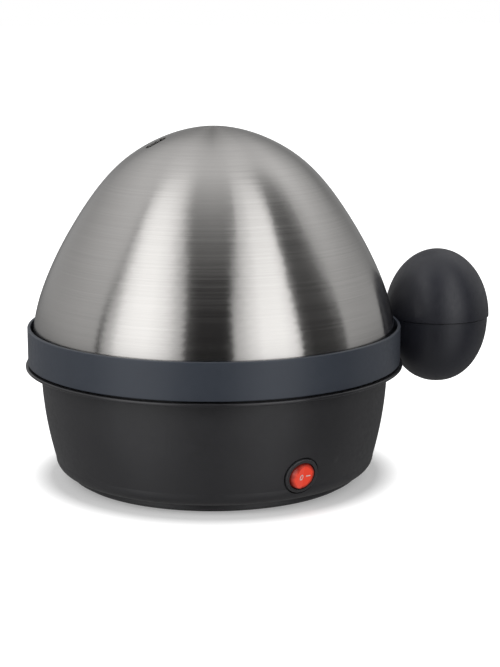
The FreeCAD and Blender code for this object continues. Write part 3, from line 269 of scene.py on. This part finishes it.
def brushedSteel(name, settings):
    colour, roughness = settings["colour"], settings["roughness"]
    material, shader = startMaterial(name, colour, roughness, 1.0)
    place = addNode(material, "ShaderNodeTexCoord")
    parts = addNode(material, "ShaderNodeSeparateXYZ")
    join(material, place.outputs["Object"], parts.inputs["Vector"])
    flat = addNode(material, "ShaderNodeCombineXYZ")
    rings = addNode(material, "ShaderNodeCombineXYZ")
    for target in (flat, rings):
        join(material, parts.outputs["X"], target.inputs["X"])
        join(material, parts.outputs["Y"], target.inputs["Y"])
    radius = addNode(material, "ShaderNodeVectorMath", operation="LENGTH")
    join(material, flat.outputs["Vector"], radius.inputs[0])
    # lines run round the axis and follow one another along the wall
    along = calc(material, "SUBTRACT", radius.outputs["Value"], parts.outputs["Z"])
    join(material, along, rings.inputs["Z"])
    lines = []
    for around, across, detail in settings["lines"]:
        mapping = addNode(material, "ShaderNodeMapping")
        mapping.inputs["Scale"].default_value = (around, around, across)
        noise = addNode(material, "ShaderNodeTexNoise")
        noise.inputs["Scale"].default_value = 1.0
        noise.inputs["Detail"].default_value = detail
        join(material, rings.outputs["Vector"], mapping.inputs["Vector"])
        join(material, mapping.outputs["Vector"], noise.inputs["Vector"])
        lines.append(noise.outputs["Fac"])
    fineLines, broadLines = lines
    mean = calc(material, "MULTIPLY", calc(material, "ADD", fineLines, broadLines), 1 / len(lines))
    contrast, wander = settings["contrast"], settings["roughnessWander"]
    colourOut = blendColours(material, mean, tinted(colour, 1 - contrast), tinted(colour, 1 + contrast))
    join(material, colourOut, shader.inputs["Base Color"])
    join(material, spread(material, broadLines, roughness - wander, roughness + wander),
         shader.inputs["Roughness"])
    normal = bump(material, fineLines, settings["lineStrength"], settings["lineDepth"] * mm)
    join(material, normal, shader.inputs["Normal"])
    shader.inputs["Anisotropic"].default_value = settings["anisotropy"]
    shader.inputs["Anisotropic Rotation"].default_value = settings["anisotropyTurn"]
    tangent = addNode(material, "ShaderNodeTangent", direction_type="RADIAL", axis="Z")
    join(material, tangent.outputs["Tangent"], shader.inputs["Tangent"])
    return material


# finishes of the pieces

# the switch's axes: across its face, up its face and out of the wall
switchFrame = {
    "origin": (0.01885, -0.07559, 0.01660),
    "across": (0.97030, 0.24192, 0.0),
    "up": (0.05565, -0.22322, 0.97318),
    "out": (0.23543, -0.94427, -0.23005),
    "pivotDepth": 1.5,
    "tipDeg": 12.0,
}

domeSettings = {
    "colour": (0.458, 0.447, 0.435),
    "roughness": 0.20,
    "roughnessWander": 0.03,
    "anisotropy": 1.0,
    "anisotropyTurn": 0.25,
    "contrast": 0.07,
    # turns around, lines across and detail of the fine and the broad brushing
    "lines": [(12.0, 2600.0, 2.0), (7.0, 900.0, 3.0)],
    "lineStrength": 0.06,
    "lineDepth": 0.02,
}
dishSettings = dict(domeSettings, colour=(0.56, 0.555, 0.55), roughness=0.3, anisotropy=0.6)

colours = {
    "collar": (0.044, 0.053, 0.071),
    "handle": (0.019, 0.020, 0.028),
    "base": (0.027, 0.0268, 0.0298),
    "bezel": (0.036, 0.036, 0.039),
    "tray": (0.58, 0.57, 0.54),
    "nylon": (0.72, 0.71, 0.67),
    "phenolic": (0.035, 0.03, 0.026),
    "rubber": (0.018, 0.018, 0.018),
    "seal": (0.26, 0.07, 0.045),
    "zinc": (0.55, 0.55, 0.53),
    "aluminium": (0.62, 0.63, 0.64),
    "sheath": (0.16, 0.15, 0.14),
    "ceramic": (0.74, 0.71, 0.64),
    "brass": (0.68, 0.52, 0.25),
    "sleeve": (0.66, 0.63, 0.56),
    "leadBrown": (0.09, 0.04, 0.022),
    "leadBlue": (0.03, 0.08, 0.30),
    "leadGreen": (0.07, 0.28, 0.05),
    "mark": (0.85, 0.83, 0.80),
}


rockerFinish = {
    "roughness": 0.34,
    # from here outwards the red is darker and glows less: painted shade where the paddle's edge sits down in
    # the bezel's bore
    "shadedRimFrom": (5.2, 6.7),
    "wanderScale": 420.0,
    "wander": 1.2,
    "colour": (0.66, 0.026, 0.012),
    "shadedRimColour": (0.10, 0.008, 0.006),
    "glow": (1.0, 0.09, 0.04),
    "shadedRimGlow": (0.12, 0.008, 0.004),
    "glowStrength": 0.40,
    "gloss": 0.35,
    "coat": 0.25,
    "coatRoughness": 0.05,
    "grain": 1800.0,
    "grainStrength": 0.1,
    "grainDepth": 0.01,
}


def axisDistance(material, origin, across, up):
    place = addNode(material, "ShaderNodeTexCoord")
    apart = addNode(material, "ShaderNodeVectorMath", operation="SUBTRACT")
    apart.inputs[1].default_value = origin
    join(material, place.outputs["Object"], apart.inputs[0])
    flat = addNode(material, "ShaderNodeCombineXYZ")
    for axis, socket in ((across, "X"), (up, "Y")):
        dot = addNode(material, "ShaderNodeVectorMath", operation="DOT_PRODUCT")
        dot.inputs[1].default_value = axis
        join(material, apart.outputs["Vector"], dot.inputs[0])
        join(material, dot.outputs["Value"], flat.inputs[socket])
    length = addNode(material, "ShaderNodeVectorMath", operation="LENGTH")
    join(material, flat.outputs["Vector"], length.inputs[0])
    return length.outputs["Value"]


def rockerMaterial():
    finish = rockerFinish
    material, shader = startMaterial("litRed", finish["colour"], finish["roughness"])
    outwards = axisDistance(material, switchFrame["origin"], switchFrame["across"], switchFrame["up"])
    cloudy = calc(material, "MULTIPLY", objectPattern(material, finish["wanderScale"]), finish["wander"] * mm)
    low, high = (radius * mm for radius in finish["shadedRimFrom"])
    # painted shade: the red and its glow darken towards the paddle's rim, over a noisy boundary
    edge = spread(material, calc(material, "ADD", outwards, cloudy), 0, 1, low, high)
    colourOut = blended(material, edge, finish["colour"], finish["shadedRimColour"])
    glowOut = blended(material, edge, finish["glow"], finish["shadedRimGlow"])
    join(material, colourOut, shader.inputs["Base Color"])
    join(material, glowOut, shader.inputs["Emission Color"])
    shader.inputs["Emission Strength"].default_value = finish["glowStrength"]
    shader.inputs["Specular IOR Level"].default_value = finish["gloss"]
    shader.inputs["Coat Weight"].default_value = finish["coat"]
    shader.inputs["Coat Roughness"].default_value = finish["coatRoughness"]
    fine = objectPattern(material, finish["grain"])
    normal = bump(material, fine, finish["grainStrength"], finish["grainDepth"] * mm)
    join(material, normal, shader.inputs["Normal"])
    return material


neonFinish = {
    "colour": (1.0, 0.45, 0.2),
    "glow": (1.0, 0.35, 0.1),
    "glowStrength": 1.2,
    "transmission": 0.6,
    "roughness": (0.03, 0.1),
    "patchScale": 900.0,
}


def neonMaterial():
    finish = neonFinish
    material, shader = startMaterial("neonGlass", finish["colour"], finish["roughness"][0])
    shader.inputs["Transmission Weight"].default_value = finish["transmission"]
    shader.inputs["Emission Color"].default_value = (*finish["glow"], 1.0)
    shader.inputs["Emission Strength"].default_value = finish["glowStrength"]
    patches = objectPattern(material, finish["patchScale"])
    join(material, spread(material, patches, *finish["roughness"]), shader.inputs["Roughness"])
    return material


finishes = {
    "dome_steel": brushedSteel("brushedDomeSteel", domeSettings),
    "dish_steel": brushedSteel("brushedDishSteel", dishSettings),
    "zinc_steel": platedMetal("zincPlate", colours["zinc"], 0.32),
    "spreader_aluminium": platedMetal("castAluminium", colours["aluminium"], 0.45),
    "element_sheath": platedMetal("oxidisedSheath", colours["sheath"], 0.5, 0.3),
    "ceramic": mouldedPlastic("glazedCeramic", colours["ceramic"], 0.2, contrast=0.05),
    "contact_brass": platedMetal("brassStrip", colours["brass"], 0.28),
    "dark_phenolic": mouldedPlastic("darkPhenolic", colours["phenolic"], 0.45),
    "sleeving": mouldedPlastic("glassSleeve", colours["sleeve"], 0.8, grain=1400.0, grainDepth=0.12),
    "terminal_nylon": mouldedPlastic("naturalNylon", colours["nylon"], 0.4, contrast=0.05),
    "lamp_glass": neonMaterial(),
    "rocker_red": rockerMaterial(),
    "mark_white": mouldedPlastic("markWhite", colours["mark"], 0.35, contrast=0.03),
    "bezel_plastic": mouldedPlastic("bezelPlastic", colours["bezel"], 0.36),
    "rubber_black": mouldedPlastic("footRubber", colours["rubber"], 0.75, grain=1700.0, grainDepth=0.05),
    "seal_rubber": mouldedPlastic("sealSilicone", colours["seal"], 0.6),
    "tray_plastic": mouldedPlastic("trayPlastic", colours["tray"], 0.38, contrast=0.05),
    "collar_plastic": mouldedPlastic("collarPlastic", colours["collar"], 0.35, grainDepth=0.002,
                                     contrast=0.05),
    "handle_plastic": mouldedPlastic("handlePlastic", colours["handle"], 0.40, grainDepth=0.004),
    "base_plastic": basePlasticMaterial(),
    "lead_brown": mouldedPlastic("leadBrown", colours["leadBrown"], 0.5),
    "lead_blue": mouldedPlastic("leadBlue", colours["leadBlue"], 0.5),
    "lead_green": mouldedPlastic("leadGreen", colours["leadGreen"], 0.5),
}
for part in frame["record"]["subparts"]:
    piece = nodes[part["node"]]
    piece.data.materials.clear()
    piece.data.materials.append(finishes[part["material_slot"]])
print("finishes given to", len(nodes), "nodes")


# modelling helpers


# edges sharper than this stay sharp, and points closer than this become one
smoothDeg = 35.0
weldGap = 0.002


def turned(name, outline, steps):
    deselectAll()
    radius, height = outline[0]
    bpy.ops.mesh.primitive_plane_add(size=mm, location=(radius * mm, 0, height * mm))
    piece = bpy.context.object
    piece.name = name
    bpy.ops.object.transform_apply(location=True, rotation=True, scale=True)
    bpy.ops.object.mode_set(mode="EDIT")
    bpy.ops.mesh.select_all(action="SELECT")
    bpy.ops.mesh.merge(type="CENTER")
    for before, after in zip(outline, outline[1:]):
        step = ((after[0] - before[0]) * mm, 0, (after[1] - before[1]) * mm)
        bpy.ops.mesh.extrude_vertices_move(TRANSFORM_OT_translate={"value": step})
    bpy.ops.mesh.select_all(action="SELECT")
    bpy.ops.mesh.spin(steps=steps, angle=2 * math.pi, center=(0, 0, 0), axis=(0, 0, 1))
    bpy.ops.mesh.select_all(action="SELECT")
    bpy.ops.mesh.remove_doubles(threshold=weldGap * mm)
    bpy.ops.mesh.normals_make_consistent(inside=False)
    bpy.ops.object.mode_set(mode="OBJECT")
    smoothed(piece, smoothDeg)
    return piece


def applyModifier(piece, kind, **values):
    pick(piece)
    modifier = piece.modifiers.new(kind.lower(), kind)
    for key, value in values.items():
        setattr(modifier, key, value)
    bpy.ops.object.modifier_apply(modifier=modifier.name)


def cutAway(piece, cutter):
    applyModifier(piece, "BOOLEAN", operation="DIFFERENCE", solver="EXACT", object=cutter)
    dropped(cutter)


def block(name, size, centre):
    deselectAll()
    bpy.ops.mesh.primitive_cube_add(size=1.0, location=[part * mm for part in centre])
    piece = bpy.context.object
    piece.name = name
    piece.scale = [part * mm for part in size]
    bpy.ops.object.transform_apply(location=True, rotation=True, scale=True)
    return piece


def merged(name, pieces):
    deselectAll()
    for piece in pieces:
        piece.select_set(True)
    bpy.context.view_layer.objects.active = pieces[0]
    if len(pieces) > 1:
        bpy.ops.object.join()
    pieces[0].name = name
    return pieces[0]


def placed(piece, matrix):
    pick(piece)
    piece.matrix_world = matrix
    bpy.ops.object.transform_apply(location=True, rotation=True, scale=True)


def copied(piece, name, matrix):
    pick(piece)
    bpy.ops.object.duplicate(linked=False)
    twin = bpy.context.object
    twin.name = name
    placed(twin, matrix)
    return twin


def dropped(piece):
    pick(piece)
    bpy.ops.object.delete()


def smoothed(piece, degrees):
    pick(piece)
    bpy.ops.object.shade_smooth_by_angle(angle=math.radians(degrees))


def handIn(piece, body, slot, *replaced):
    piece.data.materials.clear()
    piece.data.materials.append(finishes[slot])
    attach(piece, body)
    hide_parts(*replaced)


def onCircle(radius, firstDeg, count, height=0.0):
    turns = [math.radians(firstDeg + 360 / count * number) for number in range(count)]
    return [(radius * math.cos(turn), radius * math.sin(turn), height) for turn in turns]


def onGrid(first, headingDeg, pitch, columns, rows, height):
    heading = math.radians(headingDeg)
    along = Vector((math.cos(heading), math.sin(heading), 0)) * pitch
    across = Vector((math.sin(heading), -math.cos(heading), 0)) * pitch
    start = Vector((*first, height))
    return [start + along * column + across * row for row in range(rows) for column in range(columns)]


# rubber feet: softened rim and a dimple underneath

footSettings = {
    "count": 4,
    "circle": 58.0,
    "firstDeg": 45.0,
    "steps": 64,
    "outline": [
        (0, 0.45), (1.5, 0.40), (2.0, 0.12), (2.35, 0), (5.0, 0), (5.5, 0.10), (5.8, 0.35), (5.93, 0.8),
        (5.93, 2.2), (5.7, 2.45), (0, 2.45),
    ],
}

footModel = turned("footModel", footSettings["outline"], footSettings["steps"])
footPlaces = onCircle(footSettings["circle"] * mm, footSettings["firstDeg"], footSettings["count"])
for number, place in enumerate(footPlaces, 1):
    foot = copied(footModel, f"rubberFoot{number}", Matrix.Translation(place))
    handIn(foot, "base", "rubber_black", f"foot_{number}")
dropped(footModel)
print("feet made")


# screws: domed heads with a cross or a slot, one model for each kind

screwSettings = {
    "steps": 48,
    # shares of the head's radius and height, from the middle of its face outwards
    "headOutline": [(0, 0), (0.5, 0), (0.78, -0.06), (0.92, -0.18), (1, -0.42), (1, -1)],
    "tipShare": 0.2,
    "recessDepthShare": 0.55,
    "recessWidthShare": 0.30,
    "crossLengthShare": 1.25,
    "slotLengthShare": 2.2,
    "firstTurnDeg": 20,
    "nextTurnDeg": 37,
}

# places are the middles of the heads' faces
screwKinds = {
    "cover_screws": {
        "name": "coverScrewSet", "body": "base", "recess": "cross", "faces": -1,
        "headRadius": 2.8, "headHeight": 1.05, "shankRadius": 1.2, "length": 15.0,
        "places": onCircle(61.0, 60, 3, 1.66),
    },
    "handle_screws": {
        "name": "handleScrewSet", "body": "lid", "recess": "cross", "faces": -1,
        "headRadius": 2.8, "headHeight": 2.0, "shankRadius": 1.45, "length": 20.9,
        "places": onGrid((106.5, 0.0), 0, 16.0, 2, 1, 56.02),
    },
    "terminal_screws": {
        "name": "terminalScrewSet", "body": "base", "recess": "slot", "faces": 1,
        "headRadius": 1.8, "headHeight": 1.4, "shankRadius": 1.2, "length": 4.85,
        "places": onGrid((1.47, 27.16), 194, 8.0, 3, 2, 15.88),
    },
}


def screwModel(kind):
    headRadius, headHeight = kind["headRadius"], kind["headHeight"]
    shankRadius, length = kind["shankRadius"], kind["length"]
    outline = [(across * headRadius, up * headHeight) for across, up in screwSettings["headOutline"]]
    outline += [
        (shankRadius, -headHeight), (shankRadius, -length + shankRadius),
        (screwSettings["tipShare"] * shankRadius, -length), (0, -length),
    ]
    screw = turned("screwModel", outline, screwSettings["steps"])
    depth = 2 * screwSettings["recessDepthShare"] * headHeight
    width = screwSettings["recessWidthShare"] * headRadius
    long = screwSettings[kind["recess"] + "LengthShare"] * headRadius
    cutAway(screw, block("recess", (long, width, depth), (0, 0, 0)))
    if kind["recess"] == "cross":
        cutAway(screw, block("recess", (width, long, depth), (0, 0, 0)))
    smoothed(screw, smoothDeg)
    return screw


for node, kind in screwKinds.items():
    model = screwModel(kind)
    turnOver = Matrix.Rotation(math.pi, 4, "X") if kind["faces"] < 0 else Matrix.Identity(4)
    screws = []
    for number, place in enumerate(kind["places"]):
        turn = screwSettings["firstTurnDeg"] + screwSettings["nextTurnDeg"] * number
        face = Matrix.Translation([part * mm for part in place])
        headTurn = Matrix.Rotation(math.radians(turn), 4, "Z")
        screws.append(copied(model, f"screw{number}", face @ headTurn @ turnOver))
    dropped(model)
    handIn(merged(kind["name"], screws), kind["body"], "zinc_steel", node)
print("screws made")


# rocker: soft-edged paddle with a raised ring and dash

rockerSettings = {
    "radius": 6.37,
    "segments": 96,
    "rings": 64,
    "depth": 4.5,
    "valley": 2.4,
    "slopeDeg": 12.0,
    "edge": 0.32,
    "edgeSteps": 4,
    "edgeFromDeg": 18,
    "smoothDeg": 30,
    # a block larger than the paddle, and how far it starts below the valley
    "cutterSize": 20,
    "cutterBelow": 4,
}
markSettings = {
    # places along the paddle, from its middle
    "ringPlace": -1.55,
    "ringRadius": 1.1,
    "ringStroke": 0.25,
    "ringSegments": (64, 16),
    "dashPlace": 2.45,
    "dashSize": (2.3, 0.5),
    "dashEdge": 0.12,
    "edgeSteps": 4,
    "height": 0.15,
    "smoothDeg": 50,
}


def switchMatrix(tipDeg):
    axes = Matrix([switchFrame[key] for key in ("across", "up", "out")]).transposed().to_4x4()
    axes.translation = Vector(switchFrame["origin"])
    pivot = Vector((0, 0, -switchFrame["pivotDepth"] * mm))
    return axes @ Matrix.Translation(pivot) @ Matrix.Rotation(math.radians(tipDeg), 4, "Y")


def cutFlat(height, normal):
    bpy.ops.mesh.select_all(action="SELECT")
    bpy.ops.mesh.bisect(plane_co=(0, 0, height * mm), plane_no=normal, use_fill=True, clear_outer=True)


slope = math.radians(rockerSettings["slopeDeg"])
valley = rockerSettings["valley"]
tipped = switchMatrix(switchFrame["tipDeg"])

deselectAll()
bpy.ops.mesh.primitive_uv_sphere_add(segments=rockerSettings["segments"], ring_count=rockerSettings["rings"],
                                     radius=rockerSettings["radius"] * mm)
rocker = bpy.context.object
rocker.name = "rockerPaddle"
bpy.ops.object.mode_set(mode="EDIT")
cutFlat(-rockerSettings["depth"], (0, 0, -1))
bpy.ops.object.mode_set(mode="OBJECT")

cutterSize = rockerSettings["cutterSize"]
cutterHeight = cutterSize / 2 + valley - rockerSettings["cutterBelow"]
cutter = block("paddleCutter", (cutterSize,) * 3, (0, 0, cutterHeight))
bpy.ops.object.mode_set(mode="EDIT")
for side in (-1, 1):
    cutFlat(valley, (side * math.sin(slope), 0, -math.cos(slope)))
bpy.ops.object.mode_set(mode="OBJECT")
cutAway(rocker, cutter)
applyModifier(rocker, "BEVEL", width=rockerSettings["edge"] * mm, segments=rockerSettings["edgeSteps"],
              limit_method="ANGLE", angle_limit=math.radians(rockerSettings["edgeFromDeg"]))
smoothed(rocker, rockerSettings["smoothDeg"])
placed(rocker, tipped)
handIn(rocker, "rocker", "rocker_red", "switch_rocker")


def ringMark():
    stroke = markSettings["ringStroke"]
    around, across = markSettings["ringSegments"]
    deselectAll()
    bpy.ops.mesh.primitive_torus_add(major_radius=markSettings["ringRadius"] * mm, minor_radius=stroke * mm,
                                     major_segments=around, minor_segments=across)
    mark = bpy.context.object
    mark.scale = (1, 1, markSettings["height"] / stroke)
    bpy.ops.object.transform_apply(location=False, rotation=False, scale=True)
    return mark


def dashMark():
    mark = block("dash", (*markSettings["dashSize"], 2 * markSettings["height"]), (0, 0, 0))
    applyModifier(mark, "BEVEL", width=markSettings["dashEdge"] * mm, segments=markSettings["edgeSteps"])
    return mark


marks = []
markPlaces = ((-1, ringMark(), markSettings["ringPlace"]), (1, dashMark(), markSettings["dashPlace"]))
for side, mark, place in markPlaces:
    smoothed(mark, markSettings["smoothDeg"])
    face = Matrix.Translation((0, 0, valley * mm)) @ Matrix.Rotation(-side * slope, 4, "Y")
    placed(mark, tipped @ face @ Matrix.Translation((place * mm, 0, 0)))
    marks.append(mark)
handIn(merged("rockerMarkings", marks), "rocker", "mark_white", "rocker_marks")
print("rocker made")


# studio: pale floor with a painted shadow round the object, white surroundings, soft lamps and a tent that
# only gloss sees

studioSettings = {
    "worldForDiffuse": 0.5,
    "floorSize": 24.0,
    "floorColour": 0.78,
    "floorRoughness": 0.9,
    # the floor glows less near the object and reaches full glow by the given reach: a painted shadow round
    # its foot
    "floorGlowInPaintedShadow": 0.26,
    "floorGlowFar": 1.0,
    "paintedShadowReach": (0.078, 0.094),
    "aim": (0.0, 0.0, 0.08),
    # bearing from the camera's own direction, elevation, width, height, distance, level
    "lamps": {
        "lampLeft": (-50.0, 34.0, 0.9, 1.1, 1.7, 1.9),
        "lampRight": (48.0, 34.0, 0.9, 1.1, 1.7, 1.0),
        "lampTop": (170.0, 74.0, 1.4, 1.4, 1.8, 0.25),
    },
    "tentRadius": 2.0,
    "tentSegments": 96,
    "tentRings": 48,
    "tentTop": 2.2,
    "tentOverhead": 0.98,
    "tentBelow": 0.03,
    "tentBelowShare": 0.42,
    # light from the floor, seen by gloss far below the horizon
    "tentDeep": (-62.0, -26.0),
    "tentDeepLevel": 0.26,
    # elevations between which the tent turns from below to its low and high strips, and to overhead
    "tentHorizon": (-7.0, 2.0),
    "tentHigh": (18.0, 46.0),
    "tentShares": [(45, 1.0), (52, 0.90), (58, 0.70), (63, 0.5), (70, 0.33), (80, 0.08), (88, 0.0)],
    # how far the strips lean outwards above an elevation
    "tentLeanFrom": 25.5,
    "tentLean": 95.0,
    # bearing from the camera's own direction, and how bright the tent is there
    "tentLow": [
        (-165, 0.30), (-150, 0.46), (-125, 0.54), (-92, 0.66), (-78.8, 0.66), (-76.4, 0.12), (-74.8, 0.12),
        (-72.8, 0.62), (-68, 1.06), (-62, 1.76), (-56, 2.00), (-44, 2.08), (-36, 1.90), (-27, 1.36),
        (-20.5, 0.74), (-17.8, 0.10), (-10, 0.03), (6, 0.03), (11.4, 0.09), (12.8, 0.92), (20, 1.30),
        (30, 2.00), (44, 2.06), (51, 1.80), (54.6, 1.15), (56.2, 0.16), (63, 0.06), (80, 0.07),
        (87, 0.18), (91, 0.62), (126, 0.52), (148, 0.30),
    ],
    "tentUpper": [
        (-180, 0.25), (-166, 0.40), (-155, 0.80), (-110, 0.92), (-90, 0.94), (-79, 0.94), (-76, 0.52),
        (-73, 0.95), (-64, 1.80), (-56, 1.98), (-44, 1.98), (-35, 1.78), (-20, 0.80),
        (-15, 0.16), (-9, 0.03), (6, 0.03), (9, 0.10), (11, 0.72), (19, 1.18), (30, 1.72),
        (44, 1.80), (50, 1.76), (54, 1.35), (56.5, 0.35), (63, 0.12), (78, 0.14), (86, 0.35),
        (91, 0.70), (110, 1.10), (155, 0.80), (180, 0.25),
    ],
}


def directionFrom(bearing, elevation):
    turn = math.radians(cameraBearing + bearing)
    rise = math.radians(elevation)
    return Vector((math.cos(turn) * math.cos(rise), math.sin(turn) * math.cos(rise), math.sin(rise)))


for lampName, (bearing, elevation, width, height, distance, level) in studioSettings["lamps"].items():
    aim = Vector(studioSettings["aim"])
    centre = aim + directionFrom(bearing, elevation) * distance
    facing = (aim - centre).to_track_quat("-Z", "Y")
    deselectAll()
    bpy.ops.object.light_add(type="AREA", location=centre, rotation=facing.to_euler())
    lamp = bpy.context.object
    lamp.name = lampName
    lamp.data.shape = "RECTANGLE"
    lamp.data.size = width
    lamp.data.size_y = height
    lamp.data.energy = level * math.pi * width * height
    lamp.visible_camera = False
    lamp.visible_glossy = False


def seenRays(tree):
    path = tree.nodes.new("ShaderNodeLightPath")
    first = tree.nodes.new("ShaderNodeMath")
    first.operation = "MAXIMUM"
    second = tree.nodes.new("ShaderNodeMath")
    second.operation = "MAXIMUM"
    tree.links.new(path.outputs["Is Camera Ray"], first.inputs[0])
    tree.links.new(path.outputs["Is Glossy Ray"], first.inputs[1])
    tree.links.new(first.outputs["Value"], second.inputs[0])
    tree.links.new(path.outputs["Is Transmission Ray"], second.inputs[1])
    return second.outputs["Value"]


def ramped(material, factor, stops):
    ramp = addNode(material, "ShaderNodeValToRGB")
    band = ramp.color_ramp
    band.elements[0].position, band.elements[1].position = stops[0][0], stops[-1][0]
    for element, stop in ((band.elements[0], stops[0]), (band.elements[1], stops[-1])):
        element.color = (stop[1], stop[1], stop[1], 1)
    for position, level in stops[1:-1]:
        element = band.elements.new(position)
        element.color = (level, level, level, 1)
    join(material, factor, ramp.inputs["Fac"])
    return ramp.outputs["Color"]


def sineOf(degrees):
    return math.sin(math.radians(degrees))


def betweenRises(material, rise, key, start=0):
    low, high = (sineOf(turn) for turn in studioSettings[key])
    return spread(material, rise, start, 1, low, high)


def tentMaterial():
    material, shader = startMaterial("tentGlow", (0, 0, 0), 1.0)
    shader.inputs["Specular IOR Level"].default_value = 0.0
    place = addNode(material, "ShaderNodeTexCoord")
    mapping = addNode(material, "ShaderNodeMapping")
    mapping.inputs["Location"].default_value = (0, 0, -studioSettings["aim"][2])
    mapping.inputs["Rotation"].default_value = (0, 0, -math.radians(cameraBearing))
    join(material, place.outputs["Object"], mapping.inputs["Vector"])
    parts = addNode(material, "ShaderNodeSeparateXYZ")
    join(material, mapping.outputs["Vector"], parts.inputs["Vector"])
    around = calc(material, "ARCTAN2", parts.outputs["Y"], parts.outputs["X"])
    rise = calc(material, "DIVIDE", parts.outputs["Z"], studioSettings["tentRadius"])
    above = calc(material, "SUBTRACT", rise, sineOf(studioSettings["tentLeanFrom"]))
    squared = calc(material, "POWER", calc(material, "MAXIMUM", above, 0.0), 2.0)
    lean = calc(material, "MULTIPLY", squared, math.radians(studioSettings["tentLean"]))
    inwards = calc(material, "SUBTRACT", calc(material, "ABSOLUTE", around), lean)
    upright = calc(material, "MAXIMUM", inwards, 0.0)
    leaning = calc(material, "MULTIPLY", upright, calc(material, "SIGN", around))
    bearing = spread(material, leaning, 0, 1, -math.pi, math.pi)
    top = studioSettings["tentTop"]
    strips = []
    for key in ("tentLow", "tentUpper"):
        stops = [(turn / 360 + 0.5, level / top) for turn, level in studioSettings[key]]
        strips.append(ramped(material, bearing, stops))
    walls = blended(material, betweenRises(material, rise, "tentHigh"), *strips)
    shares = [(sineOf(turn), share) for turn, share in studioSettings["tentShares"]]
    overhead = (studioSettings["tentOverhead"] / top,) * 3
    vault = blended(material, ramped(material, rise, shares), overhead, walls)
    below = (studioSettings["tentBelow"] / top,) * 3
    horizon = betweenRises(material, rise, "tentHorizon", studioSettings["tentBelowShare"])
    deep = (studioSettings["tentDeepLevel"] / top,) * 3
    lower = blended(material, horizon, below, vault)
    whole = blended(material, betweenRises(material, rise, "tentDeep"), deep, lower)
    join(material, whole, shader.inputs["Emission Color"])
    shader.inputs["Emission Strength"].default_value = top
    return material


deselectAll()
bpy.ops.mesh.primitive_uv_sphere_add(
    segments=studioSettings["tentSegments"],
    ring_count=studioSettings["tentRings"],
    radius=studioSettings["tentRadius"],
    location=studioSettings["aim"],
)
tent = bpy.context.object
tent.name = "studioTent"
bpy.ops.object.transform_apply(location=True, rotation=True, scale=True)
tent.data.materials.append(tentMaterial())
tent.visible_camera = False
tent.visible_diffuse = False
tent.visible_shadow = False
tent.visible_transmission = False

deselectAll()
bpy.ops.mesh.primitive_plane_add(size=studioSettings["floorSize"], location=(0, 0, 0))
floor = bpy.context.object
floor.name = "studioFloor"
floor.visible_glossy = False
paper = (studioSettings["floorColour"],) * 3
material, shader = startMaterial("floorPaper", paper, studioSettings["floorRoughness"])
shader.inputs["Specular IOR Level"].default_value = 0.0
place = addNode(material, "ShaderNodeTexCoord")
away = addNode(material, "ShaderNodeVectorMath", operation="LENGTH")
join(material, place.outputs["Object"], away.inputs[0])
# painted shadow: the floor's glow is lower close to the object
level = spread(material, away.outputs["Value"], studioSettings["floorGlowInPaintedShadow"], studioSettings["floorGlowFar"],
               *studioSettings["paintedShadowReach"])
shader.inputs["Emission Color"].default_value = (1, 1, 1, 1)
glow = calc(material, "MULTIPLY", level, seenRays(material.node_tree))
join(material, glow, shader.inputs["Emission Strength"])
floor.data.materials.append(material)

world = bpy.data.worlds.new("studioWorld")
bpy.context.scene.world = world
world.use_nodes = True
tree = world.node_tree
tree.nodes["Background"].inputs["Color"].default_value = (1, 1, 1, 1)
ranged = tree.nodes.new("ShaderNodeMapRange")
ranged.inputs["To Min"].default_value = studioSettings["worldForDiffuse"]
ranged.inputs["To Max"].default_value = 1.0
tree.links.new(seenRays(tree), ranged.inputs["Value"])
tree.links.new(ranged.outputs["Result"], tree.nodes["Background"].inputs["Strength"])
print("studio set")
